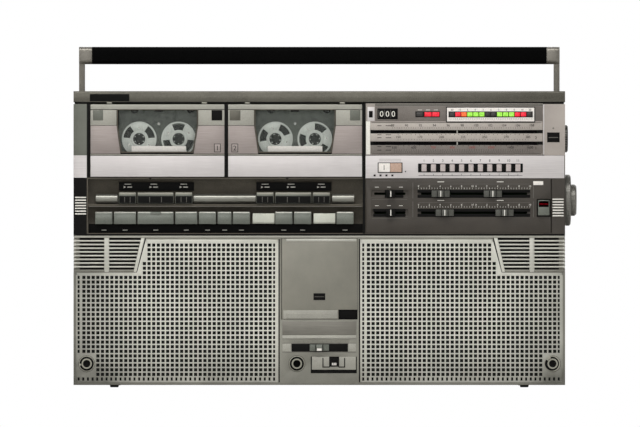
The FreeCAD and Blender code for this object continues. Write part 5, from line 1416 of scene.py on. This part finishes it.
def makeKnob(node):
    (inner, y0, z0), (outer, y1, z1) = span(node)
    made = Piece(node + "_turned")
    centre = (0, (y0 + y1) / 2, (z0 + z1) / 2)
    radius = (y1 - y0) / 2
    metal = "turnedKnob"
    if node == "tuning_knob":
        waist, step, foot = knob["waist"], caseRight + knob["step"], caseRight + knob["foot"]
        made.turned(metal, centre, [
            (6, inner), (6, foot), (radius - 0.6, foot), (radius - 0.4, foot + 0.6),
            (radius - 0.4, step - 1.0), (radius - 1.6, step), (waist + 0.8, step), (waist, step + 0.6),
            (waist, outer - 1.6), (waist - 1.6, outer - 0.05), (waist - 5, outer - 0.05),
            (waist - 5.8, outer - 0.8), (3, outer - 0.9)], axis="x", segments=96)
        # a bright ring on the face and a dark one on the step
        for finish, out, into, low, high in (
                ("nickelPlate", waist - 4.9, waist - 5.7, outer - 0.5, outer),
                ("blackPlastic", radius - 3, radius - 4, step - 0.2, step + 0.15)):
            made.turned(finish, centre, [(out, low), (out, high), (into, high), (into, low), (out, low)],
                        axis="x", segments=72)
        rib = bar(metal, (foot + 1.0, step - 1.2), (-0.5, 0.5), (-0.5, 0.35), 0.2)
        ringed(made, rib, metal, centre, knob["ribs"][node], radius - 0.4)
        rib = bar(metal, (step + 1.0, outer - 2.0), (-0.35, 0.35), (-0.5, 0.3), 0.15)
        ringed(made, rib, metal, centre, knob["waistRibs"], waist)
    else:
        made.turned("blackPlastic", centre, [
            (4, inner), (radius - 1.2, inner + 0.2), (radius - 0.5, inner + 1), (radius - 0.5, outer - 0.8),
            (radius - 1.4, outer - 0.05), (3.0, outer - 0.05)], axis="x", segments=72)
        rib = bar(metal, (inner + 1.4, outer - 0.9), (-0.4, 0.4), (-0.3, 0.45), 0.15)
        ringed(made, rib, metal, centre, knob["ribs"][node], radius - 0.5)
    made.done("knob", node)


for node in knob["ribs"]:
    makeKnob(node)


# ---- rear cabinet: its back skin drawn in a little, with relief laid back out to the true face
rear = {
    "relief": 0.5, "border": 2,
    "ventRows": 16, "ventPitch": 3.6, "ventWide": 84, "ventIn": 40, "ventFoot": 206,
    "plate": (34, 128, 160), "coverRim": (2.4, 1.6), "seam": 0.3, "seamUnderTop": 10,
    # battery cover: how far its face is drawn in, then two fields of grip ridges
    "cover": 0.45, "ridges": 5, "ridgePitch": 3.2, "ridgeWide": 40, "ridgeIn": 14, "ridgeDown": 22,
}


def rim(made, x, z, width, y, ease):
    # four raised bars round a field
    for low in (z[0], z[1] - width):
        made.block("rearPlastic", x, y, (low, low + width), ease)
    for low in (x[0], x[1] - width):
        made.block("rearPlastic", (low, low + width), y, z, ease)


def drawnIn(made, limit, above):
    # moves the faces behind a depth forward to it
    for vert in made.mesh.verts:
        if vert.co.y > above:
            vert.co.y = min(vert.co.y, limit)


def makeRearCabinet():
    r = rear
    low, high = span("rear_cabinet")
    made = dressed("rear_cabinet", "rearPlastic", 0.3)
    back = high[1]
    skin = back - r["relief"]
    drawnIn(made, skin, skin - 0.4)
    face = (skin - 0.2, back - 0.05)
    inset = (skin - 0.1, skin + 0.03)
    # a raised border and three vent fields with dark slots
    rim(made, (low[0] + 4, high[0] - 4), (low[2] + 3, high[2] - 12), r["border"], face, 0.25)
    ends = (low[0] + r["ventIn"], high[0] - r["ventIn"] - r["ventWide"])
    for start in (ends[0], caseMid - r["ventWide"] / 2, ends[1]):
        slot = bar("blackInk", (0, r["ventWide"]), (-0.06, 0.0), (-0.7, 0.7), 0)
        repeated(made, slot, "blackInk", (start, inset[1] + 0.04, r["ventFoot"]), 1, r["ventRows"], 1,
                 r["ventPitch"])
        rib = bar("rearPlastic", (0, r["ventWide"]), (-0.3, 0.35), (-0.55, 0.55), 0.2)
        repeated(made, rib, "rearPlastic", (start, inset[1], r["ventFoot"] + r["ventPitch"] / 2), 1,
                 r["ventRows"] - 1, 1, r["ventPitch"])
    # a bare silver plate between two bars and a raised frame round the battery cover
    half, foot, top = r["plate"]
    made.block("silverStrip", (caseMid - half, caseMid + half), (inset[0], inset[1] + 0.1), (foot, top), 0.2)
    for z in ((top + 1, top + 2.4), (foot - 2.4, foot - 1)):
        made.block("rearPlastic", (caseMid - half - 2, caseMid + half + 2), face, z, 0.2)
    (x0, _, z0), (x1, _, z1) = span("battery_cover")
    out, wide = r["coverRim"]
    rim(made, (x0 - out, x1 + out), (z0 - out, z1 + out), wide, face, 0.2)
    # a seam of darker plastic round the joint with the front half
    seamTop = high[2] - r["seamUnderTop"]
    for z in ((low[2], low[2] + r["seam"]), (seamTop - r["seam"], seamTop)):
        made.block("blackInk", (low[0] + 6, high[0] - 6), inset, z, 0)
    made.done("cabinet_rear", "rear_cabinet")


def makeBatteryCover():
    low, high = span("battery_cover")
    made = dressed("battery_cover", "rearPlastic", 0.4)
    skin = high[1] - rear["cover"]
    drawnIn(made, skin, skin)
    wide = rear["ridgeWide"]
    for start in (low[0] + rear["ridgeIn"], high[0] - rear["ridgeIn"] - wide):
        ridge = bar("rearPlastic", (0, wide), (-0.3, 0.4), (-0.7, 0.7), 0.25)
        repeated(made, ridge, "rearPlastic", (start, skin, high[2] - rear["ridgeDown"]), 1, rear["ridges"], 1,
                 rear["ridgePitch"])
    made.done("cabinet_rear", "battery_cover")


makeRearCabinet()
makeBatteryCover()
print("side and rear pieces made")


# ---- stage, lights and camera
def paperFinish(name, seen, unseen):
    # white to the camera, a plain diffuse surface to everything else
    tree, shader, coords = startMaterial(name, Roughness=0.7, Base_Color=hexColour(unseen))
    light = addNode(tree, "ShaderNodeEmission", {"Color": hexColour(seen), "Strength": 1.0})
    path = addNode(tree, "ShaderNodeLightPath")
    chosen = addNode(tree, "ShaderNodeMixShader", {0: path.outputs["Is Camera Ray"], 1: shader, 2: light})
    tree.links.new(chosen.outputs[0], tree.nodes["Material Output"].inputs["Surface"])
    return materials[name]


def makeFloor():
    shape = bmesh.new()
    bmesh.ops.create_grid(shape, x_segments=1, y_segments=1, size=8)
    mesh = bpy.data.meshes.new("floor")
    shape.to_mesh(mesh)
    shape.free()
    mesh.materials.append(paperFinish("paperFloor", "ffffff", "dcdcda"))
    floor = bpy.data.objects.new("floor", mesh)
    scene.collection.objects.link(floor)


# each lamp: place, point it faces, width and height, watts
lamps = {
    "overhead": ((-0.1, -1.1, 1.7), (0, 0, 0.2), (1.8, 0.8), 25),
    "frontFill": ((-0.4, -3.4, 1.0), (0, 0, 0.18), (2.4, 1.6), 20),
    "leftEdge": ((-2.4, -1.0, 0.9), (0, 0, 0.2), (0.6, 1.8), 8),
    "rightEdge": ((2.4, -1.0, 0.9), (0, 0, 0.2), (0.6, 1.8), 8),
    "backFill": ((0.6, 3.0, 2.0), (0, 0, 0.2), (2.4, 1.4), 30),
}


def makeLamps():
    for name, (place, target, size, watts) in lamps.items():
        lamp = bpy.data.lights.new(name, "AREA")
        lamp.shape = "RECTANGLE"
        lamp.size, lamp.size_y = size
        lamp.energy = watts
        made = bpy.data.objects.new(name, lamp)
        scene.collection.objects.link(made)
        made.location = place
        made.rotation_euler = (Vector(target) - Vector(place)).to_track_quat("-Z", "Y").to_euler()


def makeWorld():
    # a quiet grey room that looks white to the camera alone
    world = bpy.data.worlds.new("studio")
    scene.world = world
    world.use_nodes = True
    room = world.node_tree
    backdrop = room.nodes["Background"]
    backdrop.inputs["Color"].default_value = (1, 1, 1, 1)
    path = addNode(room, "ShaderNodeLightPath")
    room.links.new(remap(room, path.outputs["Is Camera Ray"], 0.24, 1.0), backdrop.inputs["Strength"])


# the camera stands level with the middle of the front, at the distance where the frame is that wide in metres
cameraSizes = {"lens": 500, "sensor": 36, "frameWide": 0.690, "x": -0.00575, "z": 0.1876}


def makeCamera():
    s = cameraSizes
    lens = bpy.data.cameras.new("camera")
    lens.lens = s["lens"]
    lens.sensor_width = s["sensor"]
    lens.clip_end = 60
    lens.dof.use_dof = False
    camera = bpy.data.objects.new("camera", lens)
    scene.collection.objects.link(camera)
    camera.location = (s["x"], faceY * mm - lens.lens * s["frameWide"] / lens.sensor_width, s["z"])
    camera.rotation_euler = (math.pi / 2, 0, 0)
    scene.camera = camera


makeFloor()
makeLamps()
makeWorld()
makeCamera()
scene.view_settings.view_transform = "Standard"
print("stage and camera set")
